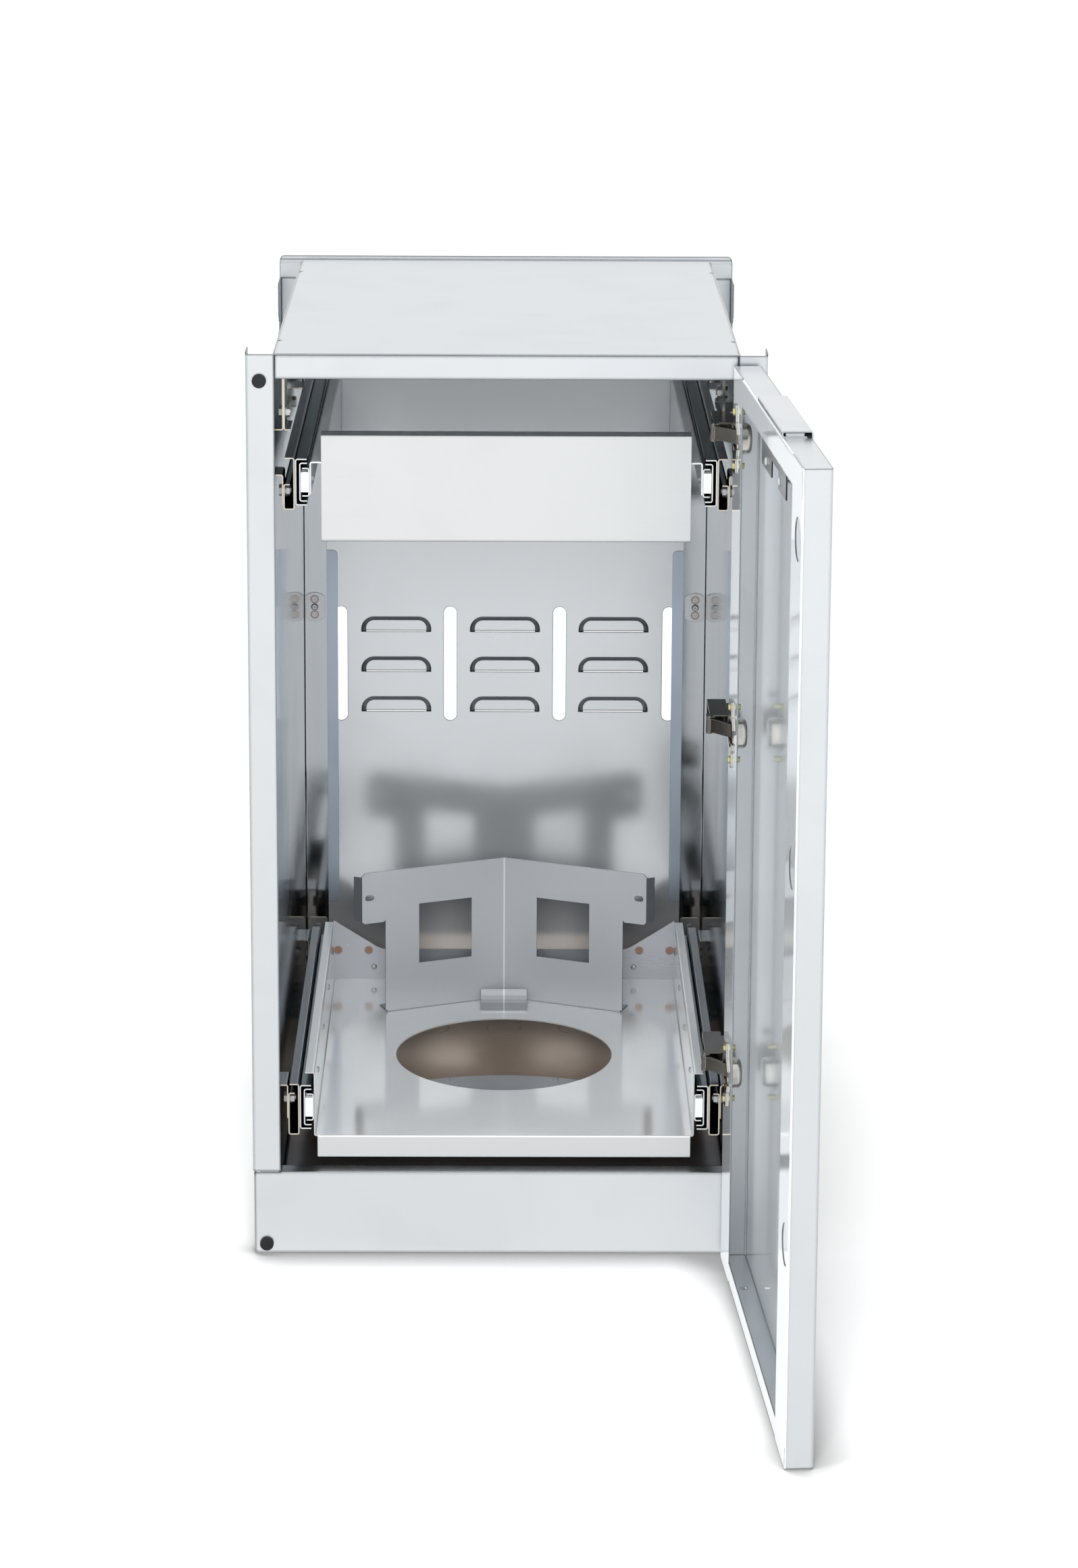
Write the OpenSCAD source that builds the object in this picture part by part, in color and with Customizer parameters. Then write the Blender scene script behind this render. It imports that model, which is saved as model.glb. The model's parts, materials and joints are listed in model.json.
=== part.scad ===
// Built-in outdoor storage cabinet: pull-out bottle tray, drawer above it,
// and a full-height hollow door on two-pivot concealed hinges.
// Units are millimetres. X runs right, Y into the cabinet, Z up.
// The front face is the plane y = 0 and the floor is z = 0.

/* [Cabinet] */
// Overall width across the front stiles
cab_w = 457.2; // [440:0.1:520]
// Height of the top panel above the floor
cab_h = 835.7; // [820:0.1:860]
// Depth from the front face to the rear inner flanges
cab_d = 545; // [530:1:620]
// Thickness of the steel sheet
sheet = 1.2; // [1.0:0.05:1.3]
// Width of each front stile
stile_w = 25.2; // [24:0.1:26]
// Height of the kick panel's top edge
kick_top = 79.5; // [70:0.5:80]
// Height of the top rail's face
rail_h = 21.7; // [16:0.1:24]
// Inside radius of the sheet bends
bend_r = 1.0; // [0.6:0.1:1.4]

/* [Back] */
// Width of each ventilation slot in the back
slot_w = 13; // [8:0.5:16]
// Length of each ventilation slot in the back
slot_l = 119.5; // [80:0.5:140]
// Height of the slots' centre
slot_z = 421; // [380:1:460]
// Width of one pressed louvre
louvre_w = 71; // [50:1:80]
// Depth of one pressed louvre
louvre_d = 4.4; // [3:0.1:6]
// Spacing between the louvre columns
louvre_px = 110.7; // [100:0.1:115]
// Spacing between the louvre rows
louvre_pz = 41.9; // [30:0.1:45]

/* [Slides] */
// Thickness of one telescopic slide
slide_t = 12.8; // [12.7:0.05:13]
// Height of one telescopic slide
slide_h = 42.2; // [40:0.1:44]
// Closed length of one telescopic slide
slide_l = 450; // [400:5:460]
// Clear gap between members that slide past each other
slide_gap = 0.4; // [0.3:0.05:0.5]

/* [Drawer] */
// Height of the drawer front
drawer_h = 96; // [80:0.5:98]
// Distance of the drawer front's top edge below the top panel
drawer_drop = 75; // [70:0.1:90]
// Distance of the drawer front behind the front face
drawer_y = 14; // [6:0.5:20]

/* [Tray] */
// Height of the tray's floor
tray_z = 109.3; // [105:0.1:112]
// Radius of the hole for the bottle's foot ring
hole_r = 103.8; // [90:0.1:110]
// Distance of the hole's centre behind the front face
hole_y = 241; // [225:1:250]
// Height of the bottle bracket above the tray's floor
vee_h = 145.9; // [130:0.1:160]

/* [Door] */
// Gap between the cabinet's edge and the door's edge, each side
door_side = 0.6; // [0.5:0.1:3]
// Thickness of the door
door_t = 24; // [22:0.5:26]
// Height of the door's bottom edge
door_z0 = 1.5; // [1.5:0.5:6]
// Distance of the door's top edge below the top panel
door_drop = 8.5; // [4:0.1:20]
// Angle at which the door stands open in this model
door_open = 93.6; // [90:0.1:95]
// Diameter of the hinge cup bores in the door
cup_d = 35; // [35:0.1:36]
// How far the handle's finger lip stands off the door
grip = 11; // [9:0.5:12]
// Diameter of the screws that hold the hinge cups
cup_screw_d = 6; // [5:0.1:6.4]
// Diameter of the hinge pivots
pivot_d = 2.4; // [2:0.1:2.6]
// Radial running clearance of the pivots
pivot_fit = 0.05; // [0.02:0.01:0.08]

/* [Feet] */
// Diameter of a levelling foot's pad
foot_d = 38; // [30:1:45]
// Diameter of a levelling foot's stud
stud_d = 10; // [8:0.5:12]
// Radial running clearance of the stud in its socket
stud_fit = 0.08; // [0.04:0.01:0.1]

/* [Hidden] */

$fn = 48;
eps = 0.01;
s = sheet;
hw = cab_w / 2;                     // half the cabinet's width
in_x = hw - stile_w;                // inner edge of a stile
wall_x = in_x + 0.3;                // inner face of a side panel
wall_c = wall_x + s / 2;            // middle plane of a side panel
top_u = cab_h - s;                  // underside of the top panel
back_y = cab_d + s;                 // inner face of the back panel
rear_y = back_y + s;                // outer face of the back panel
slide_x = hw - 42.3;                // outer face of a slide
carr_x = slide_x - slide_t;         // inner face of a slide, where it carries
slide_y0 = 14;                      // front end of the slides
slide_y1 = slide_y0 + slide_l;      // rear end of the slides
bolt_ys = [slide_y0 + 13, slide_y1 - 7];  // bolts of the slide channels
chan_x = slide_x + s;               // outer face of a slide channel's web
tab_x = hw - 33.4;                  // inner face of the channels' upright tabs
tray_x = carr_x;                    // half width of the tray
draw_x = carr_x - 10.1;             // half width of the drawer front
pan_z = kick_top - 18.3;            // top face of the floor pan
rail_top = cab_h - s;               // top of the top rail
drawer_top = cab_h - drawer_drop;   // top edge of the drawer front
drawer_z = drawer_top - drawer_h;   // bottom edge of the drawer front
slide_zu = drawer_top - 42.4;       // centre of the drawer's slides
slide_zl = tray_z + 27.6;           // centre of the tray's slides
bolt_zu = slide_zu - 9.7;           // bolts of the upper channels
bolt_zl = slide_zl + 5.1;           // bolts of the lower channels
bolt_zh = top_u - 56.5;             // bolts of the hangers
door_z1 = cab_h - door_drop;        // top edge of the door
door_l = cab_w - 2 * door_side;     // from hinge edge to free edge
hinge_z = [door_z1 - 60.2, door_z1 - 325.2, door_z0 + 184.5];
vee_top = tray_z + vee_h;           // top edge of the bottle bracket
foot_x = wall_x - 23.7;             // feet from the middle
feet = [for (y = [40, cab_d - 40], x = [-foot_x, foot_x]) [x, y]];

// Closed door: u runs from the hinge edge to the free edge, w outwards.
door_e = hw - door_side;            // x of the hinge edge when closed
door_g = 4;                         // gap behind the closed door
p1 = [wall_x - 22.2, -0.4];         // pivot on the arm
p2c = p1 + [30, -6.4];              // pivot on the cup, door closed
p2 = p1 + [20.5, -22.8];            // pivot on the cup, door as modelled
link_a = atan2(p2[1] - p1[1], p2[0] - p1[0]);
link_l = norm(p2 - p1);
cup_u = 22.5;                       // hinge bore centre from the hinge edge
catch_u = door_l - cup_u;           // second row of bores
flange_h = 62;                      // return flange on the hinge side
flange_f = 60;                      // return flange on the free side
flange_t = 24.4;                    // return flange at the top
flange_b = 18;                      // return flange at the bottom

steel = [0.86, 0.88, 0.90];
dark_steel = [0.55, 0.58, 0.62];
mirror_steel = [0.74, 0.76, 0.79];
zinc = [0.78, 0.80, 0.80];
yellow_zinc = [0.82, 0.72, 0.42];
rubber = [0.08, 0.08, 0.09];

// ---------- helpers ----------
module box(x0, x1, y0, y1, z0, z1) {
  translate([x0, y0, z0]) cube([x1 - x0, y1 - y0, z1 - z0]);
}
module sides() { children(); mirror([1, 0, 0]) children(); }

// Bent sheet: the outline of a strip of thickness t that follows the middle
// line p, with each corner rounded to the middle radius r.
function unit(v) = v / norm(v);
function nrm(v) = [-v[1], v[0]];
function corner(p, i, r, n) =
  let (a = unit(p[i] - p[i - 1]), b = unit(p[i + 1] - p[i]),
       turn = atan2(a[0] * b[1] - a[1] * b[0], a * b),
       d = r * tan(abs(turn) / 2), sg = turn > 0 ? 1 : -1,
       c = p[i] - a * d + nrm(a) * r * sg)
  [for (k = [0 : n]) let (q = nrm(a) * -sg, w = turn * k / n)
    let (e = [q[0] * cos(w) - q[1] * sin(w), q[0] * sin(w) + q[1] * cos(w)])
    [c + e * r, e * sg * -1]];
function strip_line(p, r, n) = concat(
  [[p[0], nrm(unit(p[1] - p[0]))]],
  [for (i = [1 : 1 : len(p) - 2]) each corner(p, i, r, n)],
  [[p[len(p) - 1], nrm(unit(p[len(p) - 1] - p[len(p) - 2]))]]);
module strip(p, t = s, r = bend_r + s / 2, n = 4) {
  q = strip_line(p, r, n);
  m = len(q);
  polygon(concat([for (k = [0 : m - 1]) q[k][0] + q[k][1] * t / 2],
                 [for (k = [m - 1 : -1 : 0]) q[k][0] - q[k][1] * t / 2]));
}
// Plan profile (x, y) raised along z
module plan(z0, z1) { translate([0, 0, z0]) linear_extrude(z1 - z0) children(); }
// Side profile drawn as (y, z), run along x
module run_x(x0, x1) {
  translate([x0, 0, 0]) rotate([90, 0, 90]) linear_extrude(x1 - x0) children();
}
// Front profile drawn as (x, z), run along y
module run_y(y0, y1) {
  translate([0, y1, 0]) rotate([90, 0, 0]) linear_extrude(y1 - y0) children();
}
module rod_x(x0, x1, y, z, d, f = 24) {
  translate([x0, y, z]) rotate([0, 90, 0]) cylinder(h = x1 - x0, d = d, $fn = f);
}
module rod_y(x, y0, y1, z, d, f = 32) {
  translate([x, y1, z]) rotate([90, 0, 0]) cylinder(h = y1 - y0, d = d, $fn = f);
}
module rod_z(x, y, z0, z1, d, f = 32) {
  translate([x, y, z0]) cylinder(h = z1 - z0, d = d, $fn = f);
}
// Rounded plate outline
module rounded(x0, x1, y0, y1, r) {
  translate([x0 + r, y0]) square([x1 - x0 - 2 * r, y1 - y0]);
  translate([x0, y0 + r]) square([x1 - x0, y1 - y0 - 2 * r]);
  for (x = [x0 + r, x1 - r], y = [y0 + r, y1 - r]) translate([x, y]) circle(r);
}
// Places things drawn for the closed door at the open position
module at_door() {
  translate([p2[0], p2[1], 0]) rotate([0, 0, door_open])
    translate([-p2c[0], -p2c[1], 0]) translate([door_e, -door_g, 0])
      mirror([0, 1, 0]) mirror([1, 0, 0]) children();
}

// ---------- cabinet frame ----------
module stile() {
  c = s / 2;
  plan(kick_top + 1, cab_h - 0.7)
    strip([[in_x, c], [hw - c, c], [hw - c, 24]]);
  box(hw - s, hw, bend_r + s, 24, cab_h - 0.7, cab_h + 1.8);
}
module left_stile() { color(steel) mirror([1, 0, 0]) stile(); }
module right_stile() { color(steel) stile(); }

module top_rail() {
  c = s / 2;
  z0 = rail_top - rail_h;
  color(steel) run_x(-in_x + 1, in_x - 1)
    strip([[20, rail_top - c], [c, rail_top - c], [c, z0 + c], [20, z0 + c]]);
}

module top_panel() {
  c = s / 2;
  color(steel) {
    difference() {
      run_y(0.2, rear_y) strip([[-wall_x + c, top_u - 18], [-wall_x + c, top_u + c],
        [wall_x - c, top_u + c], [wall_x - c, top_u - 18]]);
      box(-wall_x - 1, wall_x + 1, -1, 20.2, top_u - 30, top_u);
      for (y = [69, cab_d - 73]) for (k = [-1, 1])
        translate([k * wall_x, y, top_u - eps]) cylinder(h = 3, d = 8);
      box(-wall_x - 1, wall_x + 1, cab_d - 1.5, rear_y + 1, top_u - 30, top_u);
    }
  }
}

module kick_panel() {
  c = s / 2;
  x1 = hw - 0.8;
  color(steel) {
    difference() {
      run_x(-x1 + s, x1 - s)
        strip([[18, kick_top - c], [c, kick_top - c], [c, 1.5 + c], [18, 1.5 + c]]);
      sides() box(wall_x - 0.3, hw, s, 19, kick_top - 6, kick_top + 1);
    }
    plan(1.5 + s + bend_r, kick_top - s - bend_r) sides()
      strip([[x1 - 12, c], [x1 - c, c], [x1 - c, 24]]);
    sides() box(x1 - s - 0.8, x1 - s, 0, 1, 1.5 + bend_r, kick_top - bend_r);
  }
}

module side_panel() {
  plan(20, top_u - 0.3)
    strip([[wall_x + 18.3, s * 1.5], [wall_c, s * 1.5], [wall_c, cab_d - s / 2],
           [wall_x - 22.7, cab_d - s / 2]]);
}
module left_side_panel() { color(mirror_steel) mirror([1, 0, 0]) side_panel(); }
module right_side_panel() { color(mirror_steel) side_panel(); }

// One louvre's hollow, open mouth down; g grows it by the sheet thickness
module louvre(g) {
  r = 13;
  x1 = louvre_w / 2 - r;
  h = 2.8;
  d = louvre_d + g;
  k = 4.6;
  module cone() {
    rotate([-90, 0, 0]) cylinder(h = d, r1 = r + g, r2 = r + g - k, $fn = 32);
  }
  run_x(-x1, x1) polygon([[0, -g], [0, h + r + g], [d, h + r + g - k], [d, -g]]);
  for (a = [-1, 1]) {
    intersection() {
      translate([a * x1, 0, h]) cone();
      translate([a > 0 ? x1 - eps : -x1 - 20, -1, h - eps]) cube([20 + eps, 10, 30]);
    }
    translate([0, 0, -g]) linear_extrude(h + g)
      polygon([[a * (x1 - eps), 0], [a * (x1 + r + g), 0],
               [a * (x1 + r + g - k), d], [a * (x1 - eps), d]]);
  }
}
module back_panel() {
  pos = [for (i = [-1, 0, 1], j = [0, 1, 2]) [i * louvre_px, slot_z - 50.4 + j * louvre_pz]];
  color(mirror_steel) difference() {
    union() {
      box(-wall_x - s, wall_x + s, back_y, rear_y, 20, top_u);
      for (p = pos) translate([p[0], back_y, p[1]]) difference() {
        louvre(s);
        translate([-60, -5, -5]) cube([120, 30, 5]);
      }
    }
    for (p = pos) translate([p[0], back_y - eps, p[1]]) intersection() {
      louvre(0);
      translate([-60, 0, eps * 3]) cube([120, 30, 30]);
    }
    for (p = pos) translate([p[0] - louvre_w / 2 + 5, rear_y + eps, p[1] - 5])
      cube([louvre_w - 10, louvre_d - s - eps, 6]);
    for (x = [-1.5, -0.5, 0.5, 1.5]) translate([x * 111.3, 0, 0])
      for (z = [-1, 1]) rod_y(0, back_y - 1, rear_y + 1,
                              slot_z + z * (slot_l - slot_w) / 2, slot_w);
    for (x = [-1.5, -0.5, 0.5, 1.5])
      box(x * 111.3 - slot_w / 2, x * 111.3 + slot_w / 2, back_y - 1, rear_y + 1,
          slot_z - (slot_l - slot_w) / 2, slot_z + (slot_l - slot_w) / 2);
  }
}

module rear_top_rail() {
  c = s / 2;
  x1 = hw - 2.2;
  color(steel) {
    run_x(-x1, x1) strip([[rear_y + c, top_u - 16.7], [rear_y + c, top_u - c],
                          [rear_y + 12, top_u - c], [rear_y + 12, top_u + 0.1]]);
    run_y(rear_y + 12 - c, rear_y + 12 + c) difference() {
      rounded(-x1, x1, top_u - 6, cab_h + 3.1, 4);
      translate([-hw, top_u - 20]) square([cab_w, 20]);
    }
  }
}

module rear_post() {
  c = s / 2;
  x1 = hw - 2.2;
  difference() {
    plan(20, top_u - 16.7)
      strip([[wall_x - 3.7, rear_y + c], [x1 - c, rear_y + c], [x1 - c, cab_d - 33]]);
    box(x1 - 3, x1 + 1, cab_d - 34, cab_d - 15, top_u - 66.5, top_u - 56.5);
    box(x1 - 3, x1 + 1, cab_d - 34, cab_d - 25, top_u - 56.5 - eps, top_u - 50.5);
  }
}
module left_rear_post() { color(steel) mirror([1, 0, 0]) rear_post(); }
module right_rear_post() { color(steel) rear_post(); }

module rear_stiffeners() {
  z0 = 168.3;
  z1 = cab_h - 296.2;
  color(dark_steel) sides() run_y(cab_d, back_y) {
    rounded(wall_x - 33.7, wall_x - 13.7, z0, z1, 5);
    translate([wall_x - 23.7, z0]) square([23.7 + s, z1 - z0]);
  }
}

// Small plates over the rear corners, with arched ends
module rear_joint_plates() {
  color(dark_steel) sides() {
    run_y(cab_d - 2 * s, cab_d - s) difference() {
      intersection() {
        translate([wall_x - 20.7, 466]) square([19.2, 30]);
        translate([wall_x - 10.3, 481]) circle(15);
      }
      for (z = [473, 489]) translate([wall_x - 10.3, z]) circle(0.8);
    }
    run_y(cab_d - 2 * s, cab_d - s) rounded(wall_x - 21.7, wall_x - 1.5, 100, 151.6, 3);
  }
}
module pan_screw_y(x, y, z, d) {
  translate([x, y, z]) rotate([90, 0, 0]) {
    cylinder(h = 1.6, d = d);
    translate([0, 0, 1.6 - eps]) cylinder(h = 0.9, d1 = d, d2 = d * 0.55);
  }
}
module rear_joint_screws() {
  color(zinc) sides() for (p = [[wall_x - 10.3, 481], [wall_x - 11.7, 142]])
    pan_screw_y(p[0], cab_d - 2 * s, p[1], 7.5);
}

module floor_pan() {
  c = s / 2;
  color(dark_steel) difference() {
    union() {
      run_y(s * 2 + 0.2, cab_d - s) strip([[-wall_x + c, pan_z - 20.2], [-wall_x + c, pan_z - c],
        [wall_x - c, pan_z - c], [wall_x - c, pan_z - 20.2]]);
      box(-wall_x + 10, wall_x - 10, s * 2 + 0.2, s * 3 + 0.2, pan_z - 20.2, pan_z - c);
    }
    for (x = [-72.6, 0, 72.6]) translate([x, cab_d - 88, pan_z - 0.5]) difference() {
      cylinder(h = 1, d = 35);
      translate([0, 0, -1]) cylinder(h = 3, d = 33.4);
    }
    for (f = feet) translate([f[0], f[1], pan_z - 11]) cylinder(h = 20, d = stud_d + 6);
  }
}
module foot_sockets() {
  color(zinc) for (f = feet) translate([f[0], f[1], 0]) difference() {
    union() {
      translate([0, 0, pan_z - s - 10]) cylinder(h = 11.2, d = stud_d + 6);
      translate([0, 0, pan_z]) cylinder(h = 1.5, d = stud_d + 12);
    }
    translate([0, 0, 30]) cylinder(h = 50, d = stud_d + 2 * stud_fit);
  }
}
module foot(i) {
  color(zinc) translate([feet[i][0], feet[i][1], 0]) {
    cylinder(h = 5, d = foot_d);
    translate([0, 0, 5 - eps]) cylinder(h = 4, d1 = foot_d - 4, d2 = 20);
    cylinder(h = pan_z + 0.8, d = stud_d);
    translate([0, 0, 8]) cylinder(h = 8, d = 19.6, $fn = 6);
  }
}
module foot_front_left() { foot(0); }
module foot_front_right() { foot(1); }
module foot_rear_left() { foot(2); }
module foot_rear_right() { foot(3); }

// ---------- slide supports ----------
// Pairs of hanging sheets at the front: one under the top, one bolted to it
module hanger_brackets() {
  module pair(y0, y1) {
    run_y(y0, y1) strip([[tab_x + s * 1.5, top_u - s], [tab_x + s * 1.5, top_u - 70.5],
                         [wall_x, top_u - 70.5]]);
    run_y(y0, y1) strip([[tab_x + s / 2, top_u - 22.5], [tab_x + s / 2, top_u - 70.5],
                         [tab_x - 4.7, top_u - 70.5]]);
  }
  color(mirror_steel) difference() {
    union() {
      pair(112, 160);
      mirror([1, 0, 0]) pair(20.4, 62);
    }
    rod_x(tab_x - 15, tab_x + 15, 136, bolt_zh, 6.4);
    rod_x(-tab_x - 15, -tab_x + 15, 35, bolt_zh, 6.4);
  }
}
module channel(zc, z0, z1, zt) {
  c = s / 2;
  run_y(slide_y0 - 6, slide_y1 + 16)
    strip([[tab_x - 0.1, z1 - c], [slide_x + c, z1 - c], [slide_x + c, z0 + c],
           [tab_x + c, z0 + c], [tab_x + c, zt - c], [tab_x - 4.6, zt - c]]);
}
module channels(zc, z0, z1, zt, bz) {
  color(mirror_steel) difference() {
    sides() channel(zc, z0, z1, zt);
    for (k = [-1, 1], y = bolt_ys) rod_x(k * tab_x - 6, k * tab_x + 6, y, bz, 6.4);
  }
}
module upper_slide_channels() {
  channels(slide_zu, slide_zu - 23.8, slide_zu + 23.2, slide_zu - 0.5, bolt_zu);
}
module lower_slide_channels() {
  channels(slide_zl, slide_zl - 24.4, slide_zl + 24.4, slide_zl + 15.9, bolt_zl);
}
// Angle brackets between the side panels and the channels' tabs
module slide_wall_brackets() {
  module angle(y0, z0, z1) {
    run_y(y0, y0 + 35) strip([[tab_x + s * 1.5, z0], [tab_x + s * 1.5, z1 - s / 2],
                              [wall_x, z1 - s / 2]]);
  }
  color(mirror_steel) difference() {
    sides() for (y = bolt_ys) {
      angle(y - 17.5, bolt_zu - 10.6, bolt_zu + 17.4);
      angle(y - 17.5, bolt_zl - 14, bolt_zl + 18);
    }
    for (k = [-1, 1], y = bolt_ys, z = [bolt_zu, bolt_zl])
      rod_x(k * tab_x - 6, k * tab_x + 6, y, z, 6.4);
  }
}
bolt_at = concat(
  [for (k = [-1, 1], y = bolt_ys, z = [bolt_zu, bolt_zl]) [k, y, z]],
  [[1, 136, bolt_zh], [-1, 35, bolt_zh]]);
module bracket_bolts() {
  x = tab_x + 2 * s;
  color(zinc) for (b = bolt_at) mirror([b[0] > 0 ? 0 : 1, 0, 0]) {
    rod_x(x, x + 3.5, b[1], b[2], 11.5, 6);
    rod_x(x - 2 * s - 5.5, x + eps, b[1], b[2], 6);
  }
}
module bracket_nuts() {
  color(zinc) for (b = bolt_at) mirror([b[0] > 0 ? 0 : 1, 0, 0]) difference() {
    rod_x(tab_x - 4, tab_x, b[1], b[2], 11.5, 6);
    rod_x(tab_x - 5, tab_x + 1, b[1], b[2], 6);
  }
}

// ---------- telescopic slides ----------
lip = 10.4;                         // depth of the outer member's lips
module outer_member(zc) {
  c = s / 2;
  h = slide_h / 2 - c;
  run_y(slide_y0, slide_y1)
    strip([[slide_x - lip, zc + h], [slide_x - c, zc + h], [slide_x - c, zc - h],
           [slide_x - lip, zc - h]]);
}
mid_x = slide_x - s - 2.5;          // outer face of the middle member
mid_h = slide_h / 2 - 4.1;          // its half height to the sheet's middle
module middle_member(zc) {
  run_y(slide_y0, slide_y1)
    strip([[slide_x - lip - 0.3, zc + mid_h], [mid_x - s / 2, zc + mid_h],
           [mid_x - s / 2, zc - mid_h], [slide_x - lip - 0.3, zc - mid_h]]);
}
in_h = mid_h - 4.6;                 // the inner member's half height
module inner_member(zc) {
  run_y(slide_y0, slide_y1)
    strip([[carr_x + 6.5, zc + in_h], [carr_x + s / 2, zc + in_h],
           [carr_x + s / 2, zc - in_h], [carr_x + 6.5, zc - in_h]]);
}
// Ball cages: grooved strips above and below the middle member's flanges
module cages(zc) {
  t = slide_h / 2 - s - slide_gap;
  for (k = [-1, 1]) {
    z0 = mid_h + s / 2;
    translate([0, 0, zc]) mirror([0, 0, k > 0 ? 0 : 1]) {
      box(slide_x - lip + 0.6, slide_x - lip + 4.6, slide_y0 + 30, slide_y1 - 30, z0, t);
      box(slide_x - lip + 0.6, slide_x - lip + 4.6, slide_y0 + 30, slide_y1 - 30,
          in_h + s / 2 + slide_gap, mid_h - s / 2);
    }
  }
}
module end_block(zc) {
  box(carr_x + s, mid_x - s - slide_gap, slide_y0 - 0.5, slide_y0 + 16, zc - 8.8, zc + 8.8);
}
module upper_outer_rails() { color(zinc) sides() outer_member(slide_zu); }
module lower_outer_rails() { color(zinc) sides() outer_member(slide_zl); }
module drawer_middle_rails() { color(zinc) sides() middle_member(slide_zu); }
module tray_middle_rails() { color(zinc) sides() middle_member(slide_zl); }
module drawer_inner_rails() { color(zinc) sides() inner_member(slide_zu); }
module tray_inner_rails() { color(zinc) sides() inner_member(slide_zl); }
module drawer_ball_cages() { color(dark_steel) sides() cages(slide_zu); }
module tray_ball_cages() { color(dark_steel) sides() cages(slide_zl); }
module drawer_end_blocks() { color("white") sides() end_block(slide_zu); }
module tray_end_blocks() { color("white") sides() end_block(slide_zl); }

// ---------- drawer ----------
module drawer_front() {
  c = s / 2;
  z1 = drawer_top;
  color(steel) {
    run_x(-draw_x, draw_x)
      strip([[drawer_y + 20, z1 - c], [drawer_y + c, z1 - c],
             [drawer_y + c, drawer_z + c], [drawer_y + 10, drawer_z + c]]);
  }
}
box_z = drawer_z + 4;               // underside of the drawer's floor
box_top = slide_zu + 18;            // top of the drawer's folded sides
module drawer_box() {
  c = s / 2;
  y0 = drawer_y + s;
  y1 = slide_y1 + 1;
  color(mirror_steel) {
    run_y(y0 + 0.8, y1)
      strip([[-carr_x + c, slide_zu - 11.3], [-carr_x + c, box_top - c], [-draw_x + c, box_top - c],
             [-draw_x + c, box_z + c], [draw_x - c, box_z + c],
             [draw_x - c, box_top - c], [carr_x - c, box_top - c], [carr_x - c, slide_zu - 11.3]]);
    run_x(-draw_x + s, draw_x - s)
      polygon([[y1 - s, box_z + s], [y1, box_z + s], [y1, box_top], [y1 - s, box_top]]);
    run_x(-draw_x + s + 2, draw_x - s - 2)
      polygon([[y0, box_z + s + 1], [y0 + s, box_z + s + 1], [y0 + s, box_top - 4],
               [y0, box_top - 4]]);
    box(-draw_x + s, draw_x - s, y0 + 0.8, y0 + s, box_z + s - eps, box_z + s + 1.2);
  }
}
module drawer_side_screws() {
  color(zinc) sides() for (y = [slide_y0 + 18, (slide_y0 + slide_y1) / 2, slide_y1 - 24]) {
    translate([carr_x - s, y, slide_zu]) rotate([0, -90, 0]) cylinder(h = 2, d1 = 7, d2 = 4);
  }
}

// ---------- tray ----------
tray_y1 = slide_y1 + 6;             // front of the tray's rear wall
module tray_pan() {
  c = s / 2;
  color(steel) difference() {
    union() {
      run_y(15 + s, tray_y1)
        strip([[-tray_x - 8, tray_z + 59.6], [-tray_x + c, tray_z + 59.6], [-tray_x + c, tray_z - c],
               [tray_x - c, tray_z - c], [tray_x - c, tray_z + 59.6], [tray_x + 8, tray_z + 59.6]]);
      run_x(-tray_x + 3.2, tray_x - 3.2)
        strip([[15 + s + 4, tray_z - c], [15 + c, tray_z - c], [15 + c, tray_z - 20.6],
               [15 + 12, tray_z - 20.6]]);
    }
    translate([0, hole_y, tray_z - 3]) cylinder(h = 6, r = hole_r, $fn = 96);
  }
}
module tray_rear_wall() {
  y0 = tray_y1;
  top = tray_z + 61.7;
  color(mirror_steel) {
    run_y(y0, y0 + s) polygon([[-tray_x, tray_z - s], [tray_x, tray_z - s],
      [tray_x, top - 1], [tray_x - 1, top], [tray_x - 43.5, top - 27],
      [tray_x - 50.5, top - 30], [50.5 - tray_x, top - 30], [43.5 - tray_x, top - 27],
      [1 - tray_x, top], [-tray_x, top - 1]]);
  }
}
// Plate under the tray, up to a rounded rear edge in the bottle's hole
module tray_support_plate() {
  z0 = tray_z - 22.4;
  color(dark_steel) difference() {
    union() {
      intersection() {
        box(-140, 140, 30, 240, z0, z0 + s);
        translate([0, 35, z0 - 1]) cylinder(h = 4, r = 203.5, $fn = 96);
      }
      for (k = [-1, 1]) box(k * 130 - 10, k * 130 + 10, 30, 32, z0 + s - eps, tray_z - s);
      for (k = [-1, 1]) box(k * 130 - 10, k * 130 + 10, 32 - eps, 44, tray_z - 2 * s, tray_z - s);
    }
    for (k = [-1, 1]) translate([k * 50, 226.5, z0 - 1]) cylinder(h = 4, d = 3);
  }
}
module tray_rivets() {
  color(zinc) {
    sides() {
      for (y = [slide_y0 + 66, slide_y0 + 186, slide_y1 - 144, slide_y1 - 34])
        translate([tray_x - s, y, tray_z + 40.7]) rotate([0, -90, 0])
          cylinder(h = 1.2, d1 = 6, d2 = 3.4);
      translate([tray_x - 41.5, tray_y1, tray_z + 12.7]) rotate([90, 0, 0])
        cylinder(h = 1.2, d1 = 6, d2 = 3.4);
      translate([50, 226.5, tray_z - 22.4]) {
        translate([0, 0, s]) cylinder(h = 1.2, d1 = 6, d2 = 3.4);
        translate([0, 0, -eps]) cylinder(h = s + 2 * eps, d = 3);
      }
    }
  }
}
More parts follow.
